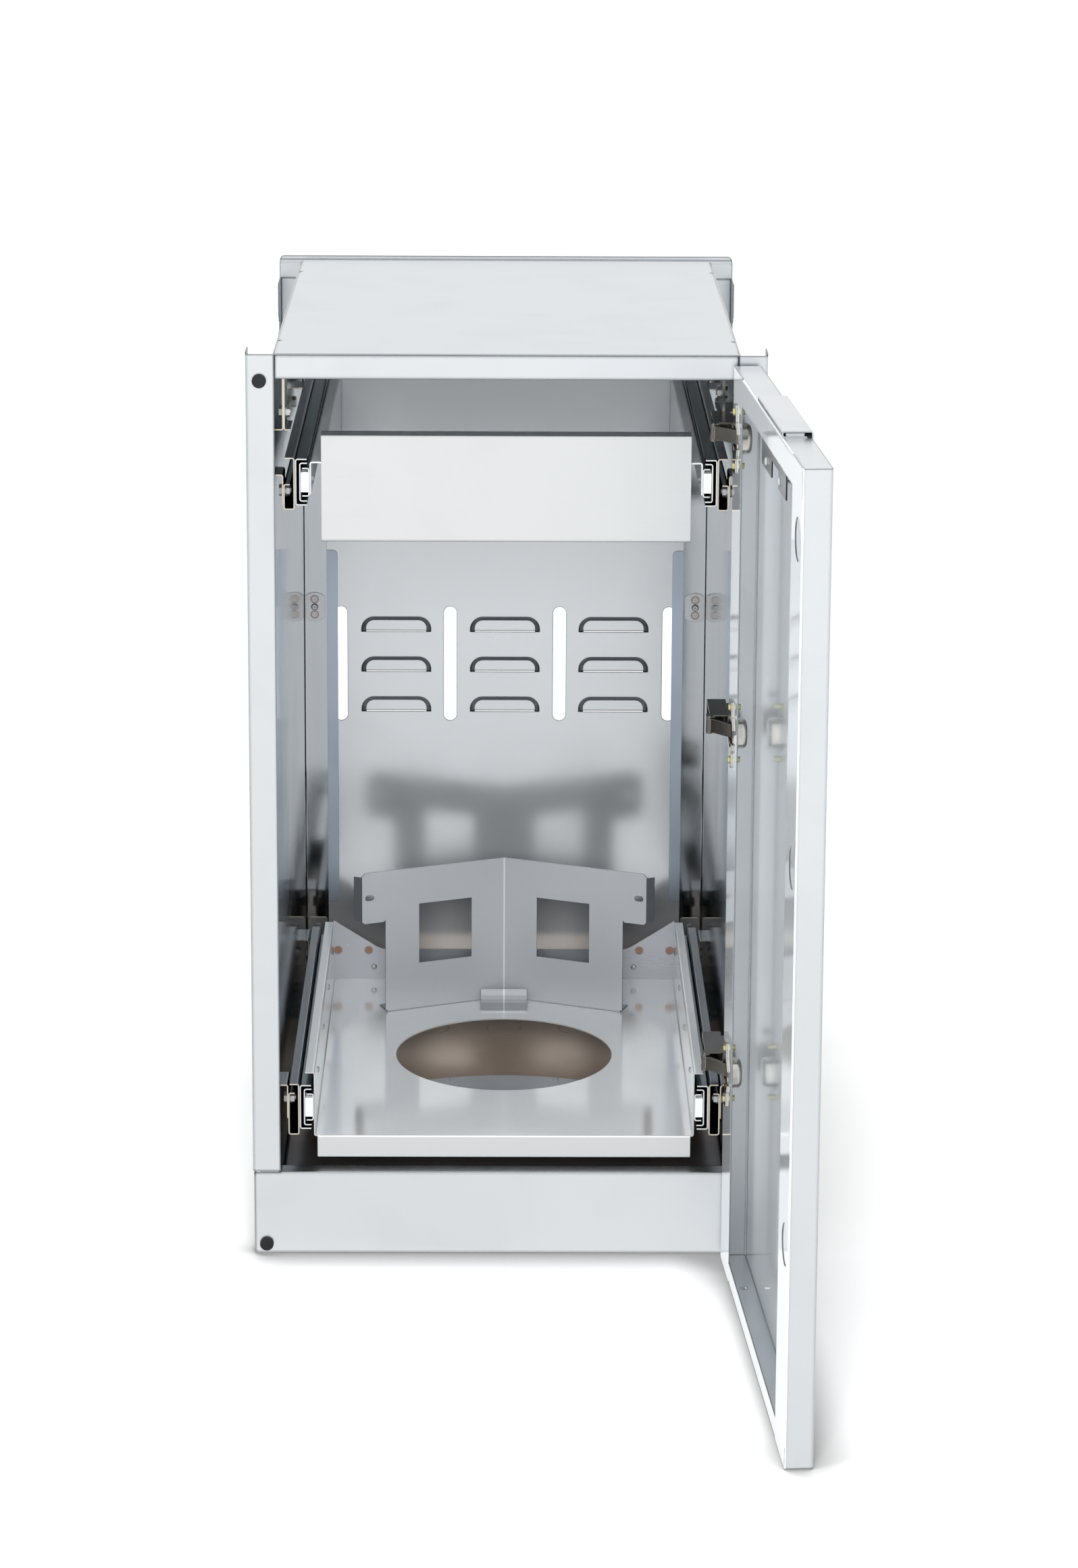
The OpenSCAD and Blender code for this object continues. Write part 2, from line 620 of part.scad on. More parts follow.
// V-shaped bracket that the bottle leans against
vee_y = hole_y + 170.6;             // front face of the V at the middle
vee_k = 0.4032;                     // how far it comes forward per mm of width
vee_a = atan(vee_k);
module bottle_bracket() {
  r = 1 / cos(vee_a);
  w1 = 117.3 * r;                   // arm length along the plate
  w2 = 140.6 * r;                   // ear length along the plate
  z0 = tray_z;
  ze = vee_top - 52.2;              // underside of the ears
  color(dark_steel) sides() translate([0, vee_y, 0]) rotate([0, 0, -vee_a]) {
    // upright plate with its window and ear
    difference() {
      run_y(0, s) difference() {
        polygon([[0, z0 + 2], [w1, z0 + 2], [w1, ze + 2], [w1 + 2, ze], [w2 - 3, ze],
                 [w2, ze + 3], [w2, vee_top - 4], [w2 - 4, vee_top], [0, vee_top]]);
        translate([32.3 * r, z0 + 46.9]) square([52.1 * r, 61.6]);
        translate([132.8 * r - 1.7, vee_top - 25.9]) circle(3);
        translate([132.8 * r + 1.7, vee_top - 25.9]) circle(3);
        translate([132.8 * r - 1.7, vee_top - 28.9]) square([3.4, 6]);
      }
    }
    // foot flange turned back under the plate
    box(0.4, w1 - 2, s, 22, z0, z0 + s);
    run_x(0.4, w1 - 2) polygon([[0, z0 + 3], [s, z0 + 3], [s + 1.5, z0 + s], [s + 1.5, z0],
                                [1.2, z0], [0.35, z0 + 0.35], [0, z0 + 1.2]]);
    // end flange bent back
    translate([w2, 0, 0]) rotate([0, 0, 45]) difference() {
      translate([-0.6, 0, ze + 3]) cube([9, s, vee_top - ze - 7]);
      translate([7, -1, ze + 2]) cube([5, 4, 3]);
    }
  }
  // tab at the middle, bent forward on to the floor of the tray
  color(dark_steel) run_x(-23, 23) polygon([
    [vee_y - 11, z0 + 12.5], [vee_y - 11, z0 + 12.5 - s], [vee_y - 12.5, z0 + 6],
    [vee_y - 16, z0 + 2.4], [vee_y - 22, z0], [vee_y - 46, z0], [vee_y - 46, z0 + s],
    [vee_y - 22, z0 + s], [vee_y - 16.8, z0 + 3.4], [vee_y - 13.6, z0 + 6.6],
    [vee_y - 12.2, z0 + 12.5]]);
}

// ---------- door ----------
module door_shell() {
  c = s / 2;
  t = door_t;
  color(steel) at_door() difference() {
    union() {
      plan(door_z0, door_z1)
        strip([[flange_h, c], [c, c], [c, t - c], [door_l - c, t - c],
               [door_l - c, c], [door_l - flange_f, c]]);
      // top and bottom walls with their return flanges
      translate([0, 0, 0]) run_x(s + eps, door_l - s - eps) {
        strip([[c, door_z1 - flange_t], [c, door_z1 - c], [t - c, door_z1 - c]]);
        strip([[c, door_z0 + flange_b], [c, door_z0 + c], [t - c, door_z0 + c]]);
      }
    }
    for (z = hinge_z) {
      translate([cup_u, -1, z]) rotate([-90, 0, 0]) cylinder(h = 3, d = cup_d, $fn = 64);
      translate([catch_u, -1, z]) rotate([-90, 0, 0]) cylinder(h = 3, d = cup_d, $fn = 64);
      for (k = [-1, 1]) translate([cup_u, -1, z + 24 * k]) rotate([-90, 0, 0])
        cylinder(h = 3, d = cup_screw_d);
    }
    for (u = [80, door_l - 80]) rod_z(u, t / 2, door_z0 - 1, door_z0 + s + 1, 6);
  }
}
// Bowl about the y axis from y0 to y1, its closed end rounded by the radius e
module bowl(r, y0, y1, e) {
  rotate([-90, 0, 0]) rotate_extrude($fn = 64)
    polygon(concat([[0, y0], [r, y0]],
      [for (k = [0 : 5]) [r - e + e * cos(18 * k), y1 - e + e * sin(18 * k)]], [[0, y1]]));
}
// Hinge cup let into the door: mouth ring, wings and the drawn cup
wing_t = 1.5;
module hinge_cups() {
  color(zinc) at_door() for (z = hinge_z) translate([cup_u, 0, z]) difference() {
    union() {
      translate([0, -wing_t, 0]) rotate([-90, 0, 0]) cylinder(h = wing_t, d = cup_d + 3, $fn = 64);
      rotate([90, 0, 0]) linear_extrude(wing_t) rounded(-9.5, 9.5, -30.5, 30.5, 6);
      bowl(cup_d / 2 - 3.8, -1, 13.2, 4);
    }
    bowl(cup_d / 2 - 5, -2, 12, 3);
    translate([7.5, -2, -6.5]) cube([14, 3, 13]);
    translate([-21.5, -2, -6.5]) cube([12.5, 5, 13]);
    for (k = [-1, 1]) translate([0, -3, 24 * k]) rotate([-90, 0, 0])
      cylinder(h = 5, d = cup_screw_d);
  }
}
module hinge_cup_screws() {
  color(yellow_zinc) at_door() for (z = hinge_z, k = [-1, 1])
    translate([cup_u, 0, z + 24 * k]) rotate([-90, 0, 0]) {
      translate([0, 0, -wing_t - 1.5]) cylinder(h = 1.5, d1 = 6, d2 = cup_screw_d + 1.4);
      translate([0, 0, -wing_t - eps]) cylinder(h = wing_t + s + 6.8, d = cup_screw_d);
    }
}
module hinge_cup_pins() {
  color(zinc) for (z = hinge_z) rod_z(p2[0], p2[1], z - 11, z + 11, pivot_d);
}
module hinge_links() {
  color(zinc) for (z = hinge_z) translate([p1[0], p1[1], z]) rotate([0, 0, link_a])
    difference() {
      union() {
        translate([0, -1.2, -6]) cube([link_l, 2.4, 12]);
        translate([0, 0, -6]) cylinder(h = 12, r = 2.8);
        translate([link_l, 0, -6]) cylinder(h = 12, r = 2.2);
      }
      for (x = [0, link_l]) translate([x, 0, -7])
        cylinder(h = 14, d = pivot_d + 2 * pivot_fit, $fn = 32);
    }
}
// Hinge arm: two cheeks round the link, joined behind, and a side web
arm_x = wall_x - 4.7;               // outer face of an arm
module hinge_arms() {
  color(zinc) for (z = hinge_z) translate([0, 0, z]) difference() {
    union() {
      for (k = [-1, 1]) translate([0, 0, k * 7]) {
        translate([p1[0], p1[1], -0.6]) cylinder(h = s, r = 2.8);
        box(p1[0] - 2.8, p1[0] + 4.5, p1[1], 10, -0.6, 0.6);
        box(p1[0] + 0.5, arm_x, 4, 62, -0.6, 0.6);
      }
      box(arm_x - s, arm_x, 4, 62, -7, 7);
      box(p1[0] + 0.5, arm_x, 62 - s, 62, -7, 7);
    }
    translate([p1[0], p1[1], -10]) cylinder(h = 20, d = pivot_d, $fn = 32);
  }
}
module hinge_mount_plates() {
  color(zinc) for (z = hinge_z) translate([0, 0, z]) {
    box(arm_x, wall_x, 20, 58, -5, 5);
    box(wall_x - 1.6, wall_x, 26, 50, -20, 20);
  }
}
module hinge_arm_pins() {
  color(zinc) for (z = hinge_z) rod_z(p1[0], p1[1], z - 8.2, z + 8.2, pivot_d);
}

// Handle: a cap over the door's top edge with a finger lip outside
module door_handle() {
  c = s / 2;
  t = door_t;
  z1 = door_z1 + 5.5;
  color(steel) at_door() {
    run_x(173, 331)
      strip([[20, door_z1 + c], [0.4, door_z1 + c], [0.4, z1 - c], [t + c, z1 - c],
             [t + c, door_z1 - 21], [t + grip, door_z1 - 31], [t + grip, door_z1 - 45]],
            r = 1.4);
    // tabs that close the cap's ends
    for (u = [173.8, 330.2 - s])
      box(u, u + s, 3, 18, door_z1 + s - eps, z1 - s - 0.5);
  }
}
module handle_backing_strip() {
  color(dark_steel) at_door() translate([0, 3.6, 0]) difference() {
    run_y(0, s) difference() {
      translate([176, door_z1 - 50.7]) square([156, 49.5]);
      translate([240, door_z1 - 51.2]) square([45, 15]);
    }
    for (u = [207, 291]) rod_y(u, -1, s + 1, door_z1 - 43.7, 4);
  }
}
module handle_screws() {
  color(zinc) at_door() for (u = [207, 291]) translate([u, 3.6, door_z1 - 43.7])
    rotate([90, 0, 0]) {
      cylinder(h = 1.4, d1 = 8, d2 = 6);
      translate([0, 0, -19]) cylinder(h = 19 + eps, d = 4);
    }
}
module door_bumpers() {
  color(rubber) for (z = [cab_h - 24.3, 10.6])
    translate([12.1 - hw, 0, z]) rotate([90, 0, 0]) {
      cylinder(h = 2.7, d = 12.4);
      translate([0, 0, 2.7 - eps]) cylinder(h = 0.9, d1 = 12.4, d2 = 10.4);
    }
}

left_stile();
right_stile();
top_rail();
top_panel();
kick_panel();
left_side_panel();
right_side_panel();
back_panel();
rear_top_rail();
left_rear_post();
right_rear_post();
rear_stiffeners();
rear_joint_plates();
rear_joint_screws();
floor_pan();
foot_sockets();
hanger_brackets();
upper_slide_channels();
lower_slide_channels();
slide_wall_brackets();
bracket_bolts();
bracket_nuts();
upper_outer_rails();
lower_outer_rails();
door_bumpers();
hinge_arms();
hinge_mount_plates();
hinge_arm_pins();
hinge_links();
door_shell();
hinge_cups();
hinge_cup_screws();
hinge_cup_pins();
door_handle();
handle_backing_strip();
handle_screws();
drawer_front();
drawer_box();
drawer_inner_rails();
drawer_end_blocks();
drawer_side_screws();
drawer_middle_rails();
drawer_ball_cages();
tray_pan();
tray_rear_wall();
tray_support_plate();
tray_inner_rails();
tray_end_blocks();
bottle_bracket();
tray_rivets();
tray_middle_rails();
tray_ball_cages();
foot_front_left();
foot_front_right();
foot_rear_left();
foot_rear_right();
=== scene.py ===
"""Finishes, fasteners and stage for the built-in bottle cabinet.

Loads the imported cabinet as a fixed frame, gives every part its finish, puts
threaded screws and bolts and domed rivets in place of the plain ones, adds the
slides' balls and the door's catch inserts, and sets up a pale studio with the
camera.
"""
import json
import math

import bpy
from mathutils import Matrix, Vector


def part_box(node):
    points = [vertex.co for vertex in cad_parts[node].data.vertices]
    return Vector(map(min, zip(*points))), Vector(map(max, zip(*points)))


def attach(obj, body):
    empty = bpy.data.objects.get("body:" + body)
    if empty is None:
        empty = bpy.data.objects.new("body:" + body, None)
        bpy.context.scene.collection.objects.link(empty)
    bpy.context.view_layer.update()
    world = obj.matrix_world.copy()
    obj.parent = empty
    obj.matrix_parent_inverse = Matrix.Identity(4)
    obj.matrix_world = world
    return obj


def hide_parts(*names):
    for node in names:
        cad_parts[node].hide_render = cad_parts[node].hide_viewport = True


bl_info = {
    "name": "Bottle Cabinet",
    "version": (1, 0, 0),
    "blender": (4, 5, 0),
    "location": "3D View > Sidebar > Cabinet",
    "description": "Finishes, fasteners and studio for a built-in steel bottle cabinet",
    "category": "Object",
}

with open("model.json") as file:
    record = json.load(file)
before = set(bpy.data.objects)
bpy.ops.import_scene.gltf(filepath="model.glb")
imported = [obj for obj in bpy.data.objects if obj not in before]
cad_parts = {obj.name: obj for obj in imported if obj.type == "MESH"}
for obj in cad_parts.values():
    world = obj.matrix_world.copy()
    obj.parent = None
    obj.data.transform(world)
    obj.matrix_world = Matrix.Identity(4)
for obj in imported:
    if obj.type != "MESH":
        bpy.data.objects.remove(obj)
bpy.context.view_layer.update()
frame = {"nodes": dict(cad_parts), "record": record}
NODES = frame["nodes"]
MM = 0.001


def linear(red, green, blue):
    """A display colour, 0 to 255, as the linear colour that shaders take."""
    out = []
    for value in (red, green, blue):
        value /= 255.0
        out.append(value / 12.92 if value <= 0.04045 else ((value + 0.055) / 1.055) ** 2.4)
    return tuple(out)


# ---------------------------------------------------------------- settings
def colour_setting(name, description, *display):
    return bpy.props.FloatVectorProperty(
        name=name, description=description, subtype="COLOR", size=3, min=0.0, max=1.0,
        default=linear(*display))


def length_setting(name, description, default):
    return bpy.props.FloatProperty(
        name=name, description=description, subtype="DISTANCE", unit="LENGTH", min=0.0,
        default=default)


def power_setting(name, description, default):
    return bpy.props.FloatProperty(
        name=name, description=description, subtype="POWER", min=0.0, default=default)


class CabinetColours(bpy.types.PropertyGroup):
    """Colours of the cabinet's finishes."""
    outer: colour_setting("Outer sheets", "Satin stainless of the outer faces", 234, 238, 241)
    door: colour_setting("Door", "Satin stainless of the door", 216, 220, 223)
    inner: colour_setting("Inner sheets", "Bright stainless of the inner walls", 164, 168, 172)
    back: colour_setting("Back panel", "Semi-bright stainless of the back", 206, 210, 213)
    drawer: colour_setting("Drawer box", "Pale satin stainless of the drawer", 246, 249, 252)
    stiffener: colour_setting("Stiffeners", "Blue-grey steel of the stiffeners", 186, 198, 212)
    plate: colour_setting("Small plates", "Dull cut stainless plates", 196, 197, 200)
    wall: colour_setting("Tray wall", "Stainless of the tray's rear wall", 176, 180, 186)
    support: colour_setting("Support plate", "Stainless under the tray", 170, 171, 175)
    strip: colour_setting("Backing strip", "Dark steel behind the handle", 74, 77, 82)
    floor: colour_setting("Floor pan", "Stainless of the floor pan", 226, 206, 188)
    tray: colour_setting("Tray", "Glossy satin stainless of the tray", 250, 250, 250)
    bracket: colour_setting("Bottle bracket", "Mid grey satin stainless", 177, 181, 185)
    front: colour_setting("Drawer front", "Long-grain brushed stainless", 232, 234, 235)
    handle: colour_setting("Handle", "Satin stainless of the handle", 226, 229, 232)
    zinc: colour_setting("Slides", "Clear zinc plate of the slides", 140, 152, 154)
    cage: colour_setting("Ball cages", "Oiled steel strip", 92, 98, 100)
    block: colour_setting("End blocks", "White moulded plastic", 240, 241, 241)
    nickel: colour_setting("Hinge cups", "Nickel plate of the hinge cups", 212, 208, 200)
    arm_nickel: colour_setting("Hinge arms", "Dark nickel plate of the arms", 108, 105, 100)
    yellow: colour_setting("Hinge screws", "Yellow zinc plate", 152, 150, 104)
    screw: colour_setting("Screws", "Plain stainless of the screws", 208, 209, 211)
    foot: colour_setting("Feet", "Zinc plate of the feet", 196, 199, 203)
    rubber: colour_setting("Bumpers", "Black rubber", 20, 20, 24)
    cut_edge: colour_setting("Cut edges", "Straw tint left by the cutting beam", 206, 190, 166)
    heat: colour_setting("Weld heat", "Brown ring left by a spot weld", 150, 102, 64)


class CabinetSizes(bpy.types.PropertyGroup):
    """Sizes of the repeated small parts."""
    hinge_head: length_setting("Hinge screw head", "Head diameter of a hinge screw", 6.8 * MM)
    hinge_shank: length_setting("Hinge screw shank", "Thread diameter of a hinge screw",
                                5.9 * MM)
    hinge_pitch: length_setting("Hinge screw pitch", "Thread pitch of a hinge screw",
                                1.1 * MM)
    bolt_head: length_setting("Bolt head", "Corner to corner size of a hex head", 11.3 * MM)
    bolt_shank: length_setting("Bolt shank", "Thread diameter of a bolt", 5.6 * MM)
    bolt_pitch: length_setting("Bolt pitch", "Thread pitch of a bolt", 1.0 * MM)
    pan_head: length_setting("Pan head", "Head diameter of a rear corner screw", 7.4 * MM)
    rivet_head: length_setting("Rivet head", "Head diameter of a rivet", 5.9 * MM)
    ball: length_setting("Slide ball", "Diameter of a slide's balls", 1.8 * MM)
    ball_step: length_setting("Ball spacing", "Distance from ball to ball in a cage",
                              7.0 * MM)
    insert_head: length_setting("Catch insert", "Head diameter of a catch insert", 5.4 * MM)


class CabinetStudio(bpy.types.PropertyGroup):
    """Camera and lights."""
    lens: bpy.props.FloatProperty(name="Lens", description="Focal length in millimetres",
                                  default=96.99, min=20.0, max=300.0)
    key: power_setting("Top light", "Power of the light above", 64.0)
    fill: power_setting("Front light", "Power of the front light", 122.0)
    side: power_setting("Side light", "Power of the side light", 42.0)
    ambient: bpy.props.FloatProperty(name="Ambient", default=0.62, min=0.0, max=1.0,
                                     description="Strength of the room's soft light")


# ---------------------------------------------------------------- node helpers
FLOAT, VECTOR = "NodeSocketFloat", "NodeSocketVector"


def add_node(tree, kind, inputs=None, **settings):
    """Adds a node, sets its options, and fills its inputs with values or links."""
    node = tree.nodes.new(kind)
    for name, value in settings.items():
        setattr(node, name, value)
    for key, value in (inputs or {}).items():
        socket = node.inputs[key]
        if isinstance(value, bpy.types.NodeSocket):
            tree.links.new(value, socket)
        else:
            socket.default_value = value
    return node


def math_node(tree, operation, *values):
    return add_node(tree, "ShaderNodeMath", dict(enumerate(values)),
                    operation=operation).outputs[0]


def times(tree, first, second):
    return math_node(tree, "MULTIPLY", first, second)


def measure(tree, operation, *vectors):
    """One number from vectors: their dot product or distance, or a length."""
    return add_node(tree, "ShaderNodeVectorMath", dict(enumerate(vectors)),
                    operation=operation).outputs["Value"]


def ramp(tree, value, start, end, low=0.0, high=1.0, smooth=False):
    """Goes from low to high as the value goes from start to end."""
    return add_node(tree, "ShaderNodeMapRange", {
        "Value": value, "From Min": start, "From Max": end, "To Min": low, "To Max": high},
        interpolation_type="SMOOTHSTEP" if smooth else "LINEAR").outputs[0]


def noise(tree, place, scale, detail=2.0, roughness=0.5, distortion=0.0):
    return add_node(tree, "ShaderNodeTexNoise", {
        "Vector": place, "Scale": scale, "Detail": detail, "Roughness": roughness,
        "Distortion": distortion}).outputs[0]


def coordinate(tree, kind):
    """The shaded point's Object place, or its Normal, in the part's own frame."""
    return add_node(tree, "ShaderNodeTexCoord").outputs[kind]


def split(tree, vector):
    return add_node(tree, "ShaderNodeSeparateXYZ", {0: vector}).outputs


def xyz(tree, x=0.0, y=0.0, z=0.0):
    return add_node(tree, "ShaderNodeCombineXYZ", {0: x, 1: y, 2: z}).outputs[0]


def mix_colour(tree, mask, first, second):
    """The first colour where the mask is 0, the second where it is 1."""
    colours = [value if isinstance(value, bpy.types.NodeSocket) else (*value, 1.0)
               for value in (first, second)]
    return add_node(tree, "ShaderNodeMix", {0: mask, 6: colours[0], 7: colours[1]},
                    data_type="RGBA").outputs[2]


def new_group(name, kind, inputs, outputs):
    """A node group with named sockets, inputs as (name, type, default): the tree, what
    it is given, and the sockets that it puts its results in."""
    tree = bpy.data.node_groups.new(name, kind)
    for label, socket_type, default in inputs:
        socket = tree.interface.new_socket(label, in_out="INPUT", socket_type=socket_type)
        if default is not None:
            socket.default_value = default
    for label, socket_type in outputs:
        tree.interface.new_socket(label, in_out="OUTPUT", socket_type=socket_type)
    start = tree.nodes.new("NodeGroupInput")
    end = tree.nodes.new("NodeGroupOutput")
    return tree, start.outputs, end.inputs


def put_out(tree, out, **results):
    for name, socket in results.items():
        tree.links.new(socket, out[name])


def group_node(tree, name, **inputs):
    """Places a shader group with its own values, and gives its outputs."""
    return add_node(tree, "ShaderNodeGroup", inputs,
                    node_tree=bpy.data.node_groups[name]).outputs


# ---------------------------------------------------------------- shader groups
def brushed_grain_group():
    """Fine parallel scratches: long where Stretch is low, fine where it is high."""
    tree, given, out = new_group("Brushed grain", "ShaderNodeTree", [
        ("Stretch", VECTOR, (3.0, 3.0, 900.0))],
        [("Tone", FLOAT), ("Height", FLOAT)])
    spread = add_node(tree, "ShaderNodeVectorMath", {
        0: coordinate(tree, "Object"), 1: given["Stretch"]}, operation="MULTIPLY").outputs[0]
    coarse = noise(tree, spread, 1.0, detail=4.0, roughness=0.62)
    fine = noise(tree, spread, 2.7)
    mixed = math_node(tree, "MULTIPLY_ADD", fine, 0.45, times(tree, coarse, 0.55))
    put_out(tree, out, Tone=mixed, Height=fine)


def smudge_group():
    """Soft clouds of handling marks and cleaning haze."""
    tree, given, out = new_group("Handling smudges", "ShaderNodeTree", [
        ("Scale", FLOAT, 9.0), ("Low", FLOAT, 0.42), ("High", FLOAT, 0.68)],
        [("Mask", FLOAT)])
    cloud = noise(tree, coordinate(tree, "Object"), given["Scale"], detail=5.0,
                  roughness=0.58, distortion=0.6)
    put_out(tree, out, Mask=ramp(tree, cloud, given["Low"], given["High"], smooth=True))


def softened_edge_and_light_group():
    """A mask of the part's sharp edges, for light painted along them, and the normal softened over
    them.
    """
    tree, given, out = new_group("Softened edges", "ShaderNodeTree", [
        ("Reach", FLOAT, 0.4 * MM)], [("Mask", FLOAT), ("Normal", VECTOR)])
    soft = add_node(tree, "ShaderNodeBevel", {"Radius": given["Reach"]}, samples=4).outputs[0]
    flat = add_node(tree, "ShaderNodeNewGeometry").outputs["Normal"]
    put_out(tree, out, Normal=soft,
            Mask=ramp(tree, measure(tree, "DOT_PRODUCT", soft, flat), 0.999, 0.90))


def cut_edge_group():
    """How far a face is turned to Axis, as Share, with the faces that turn away from it
    as Across, and those that point along it as Along."""
    tree, given, out = new_group("Cut edges", "ShaderNodeTree", [
        ("Axis", VECTOR, (0.0, 1.0, 0.0))],
        [("Across", FLOAT), ("Along", FLOAT), ("Share", FLOAT)])
    share = math_node(tree, "ABSOLUTE", measure(
        tree, "DOT_PRODUCT", coordinate(tree, "Normal"), given["Axis"]))
    put_out(tree, out, Across=ramp(tree, share, 0.35, 0.12),
            Along=ramp(tree, share, 0.90, 0.98), Share=share)


def heat_ring_group():
    """A round mark and its rim around Centre, the same on both sides of the part."""
    tree, given, out = new_group("Weld heat", "ShaderNodeTree", [
        ("Centre", VECTOR, (0.0, 0.0, 0.0)), ("Radius", FLOAT, 3.0 * MM)],
        [("Spot", FLOAT), ("Rim", FLOAT)])
    place = split(tree, coordinate(tree, "Object"))
    mirrored = xyz(tree, math_node(tree, "ABSOLUTE", place[0]), place[1], place[2])
    away = measure(tree, "DISTANCE", mirrored, given["Centre"])
    share = math_node(tree, "DIVIDE", away, given["Radius"])
    off_rim = math_node(tree, "ABSOLUTE", math_node(tree, "SUBTRACT", away, given["Radius"]))
    put_out(tree, out, Spot=ramp(tree, share, 1.1, 0.6, smooth=True),
            Rim=ramp(tree, off_rim, 1.1 * MM, 0.4 * MM))


def fold_light_group():
    """Masks for painted light on a plate that is the same on both sides: the fold at its
    middle, which takes a painted highlight, and the flanges whose faces look away from the
    middle, which take painted shade."""
    tree, given, out = new_group("Plate folds", "ShaderNodeTree", [
        ("Width", FLOAT, 1.0 * MM)], [("Middle", FLOAT), ("Outward", FLOAT)])
    across = split(tree, coordinate(tree, "Object"))[0]
    facing = split(tree, coordinate(tree, "Normal"))[0]
    put_out(tree, out,
            Middle=ramp(tree, math_node(tree, "ABSOLUTE", across), given["Width"],
                        times(tree, given["Width"], 0.4)),
            Outward=ramp(tree, times(tree, across, facing), 0.03, 0.045))


# ---------------------------------------------------------------- materials
DEPTH_AXIS = (0.0, 1.0, 0.0)
INNER_FACES = (-0.6, -0.4)          # share of the outward axis: wholly inner, no longer inner
WELD_RADIUS, KNOCK_OUT_RADIUS = 3.6 * MM, 17.5 * MM
PLATE_WELD_HEIGHTS = (473 * MM, 489 * MM)
PLATE_WELD_INSET = 8.8 * MM         # from a joint plate's outer edge
WALL_WELD_INSETS = (5 * MM, 36 * MM)    # from an end of the tray's rear wall
WALL_WELD_RISE = 31.5 * MM          # above that wall's lower edge
KNOCK_OUTS_ACROSS = (0.0, 72.6 * MM)
KNOCK_OUT_DEPTH = 457 * MM          # behind the cabinet's front face


def shade(colour, factor):
    return tuple(min(1.0, channel * factor) for channel in colour)


def new_material(name):
    material = bpy.data.materials.new(name)
    material.use_nodes = True
    return material, material.node_tree, material.node_tree.nodes["Principled BSDF"]


def steel(name, colour, roughness, stretch, grain=0.05, gloss_change=0.06, bump=0.06,
          smudge=0.06, smudge_scale=9.0, edge=0.5, edge_light_amount=0.6, reach=0.5 * MM,
          metallic=1.0, cut_colour=None, tilt=None, shade_fades=(), fold_light=None, end_colour=None,
          heat=(), heat_colour=None, inside=None, turn=None):
    """Sheet metal with directional grain, handling marks and softened edges. edge is the
    colour painted along the edges, or its share of the sheet's colour: shares below 1 paint
    shade on bends and corners, and shares above 1 paint highlights.

    Where asked it also has:
    cut_colour, on faces that turn away from the depth axis, and end_colour, on faces
    that point along it;
    tilt, painted shade on faces that turn from the depth axis, as the share of that axis
    where it starts and is full, and a colour;
    shade_fades, painted shade and painted reflection tone by depth, each as the depth
    where it starts and is full, and a colour;
    fold_light, as the colours of a painted highlight on a middle fold and of painted
    shade on the outward flanges;
    heat, each mark as its centre, radius and how far its middle is filled;
    inside, as the outward axis and the inner faces' roughness and metallic, with the
    inner faces painted lighter;
    turn, the axis around which a long grain stretches the highlights."""
    material, tree, surface = new_material(name)
    grain_out = group_node(tree, "Brushed grain", Stretch=stretch)
    smudges = group_node(tree, "Handling smudges", Scale=smudge_scale)["Mask"]
    edges = group_node(tree, "Softened edges", Reach=reach)
    tone = mix_colour(tree, grain_out["Tone"], shade(colour, 1.0 - grain),
                      shade(colour, 1.0 + grain))

    def tint(mask, amount, tinted):
        nonlocal tone
        tone = mix_colour(tree, times(tree, mask, amount), tone, tinted)

    tint(smudges, smudge, shade(colour, 0.45))
    # painted light along the edges: shade where edge is below 1, a highlight where it is above
    tint(edges["Mask"], edge_light_amount, edge if isinstance(edge, tuple) else shade(colour, edge))
    if cut_colour or tilt or end_colour:
        turned = group_node(tree, "Cut edges", Axis=DEPTH_AXIS)
    if cut_colour:
        tint(turned["Across"], 0.75, cut_colour)
    # painted shade on faces that turn away from the depth axis
    if tilt:
        tint(ramp(tree, turned["Share"], tilt[0], tilt[1]), 1.0, tilt[2])
    # painted shade and painted reflection tone by depth
    for start, end, shade_fade_colour in shade_fades:
        depth = split(tree, coordinate(tree, "Object"))[1]
        tint(ramp(tree, depth, start, end, smooth=True), 1.0, shade_fade_colour)
    # painted highlight on the middle fold, painted shade on the outward flanges
    if fold_light:
        fold_light_masks = group_node(tree, "Plate folds", Width=1.1 * MM)
        tint(fold_light_masks["Middle"], 0.8, fold_light[0])
        tint(fold_light_masks["Outward"], 0.9, fold_light[1])
    if end_colour:
        tint(turned["Along"], 0.9, end_colour)
    for centre, radius, filled in heat:
        mark = group_node(tree, "Weld heat", Centre=centre, Radius=radius)
        tint(mark["Spot"], filled, heat_colour)
        tint(mark["Rim"], 0.6, shade(heat_colour, 0.35))
    rough = math_node(tree, "MULTIPLY_ADD", grain_out["Tone"], gloss_change,
                      roughness - gloss_change / 2)
    rough = math_node(tree, "MULTIPLY_ADD", smudges, 0.04, rough)
    surface.inputs["Metallic"].default_value = metallic
    if inside:
        axis, inner_roughness, inner_metallic = inside
        facing = measure(tree, "DOT_PRODUCT", coordinate(tree, "Normal"), axis)
        rough = ramp(tree, facing, *INNER_FACES, inner_roughness, rough)
        tree.links.new(ramp(tree, facing, *INNER_FACES, inner_metallic, metallic),
                       surface.inputs["Metallic"])
        # the inner faces painted lighter than the sheet: painted light on the door's inside
        tint(ramp(tree, facing, *INNER_FACES, 1.0, 0.0), 1.0, shade(colour, 1.25))
    tree.links.new(tone, surface.inputs["Base Color"])
    tree.links.new(rough, surface.inputs["Roughness"])
    raised = add_node(tree, "ShaderNodeBump", {
        "Strength": bump, "Distance": 0.2 * MM, "Height": grain_out["Height"],
        "Normal": edges["Normal"]}).outputs[0]
    tree.links.new(raised, surface.inputs["Normal"])
    if turn:
        surface.inputs["Anisotropic"].default_value = 0.55
        tangent = add_node(tree, "ShaderNodeTangent", direction_type="RADIAL", axis=turn)
        tree.links.new(tangent.outputs[0], surface.inputs["Tangent"])
    return name, material


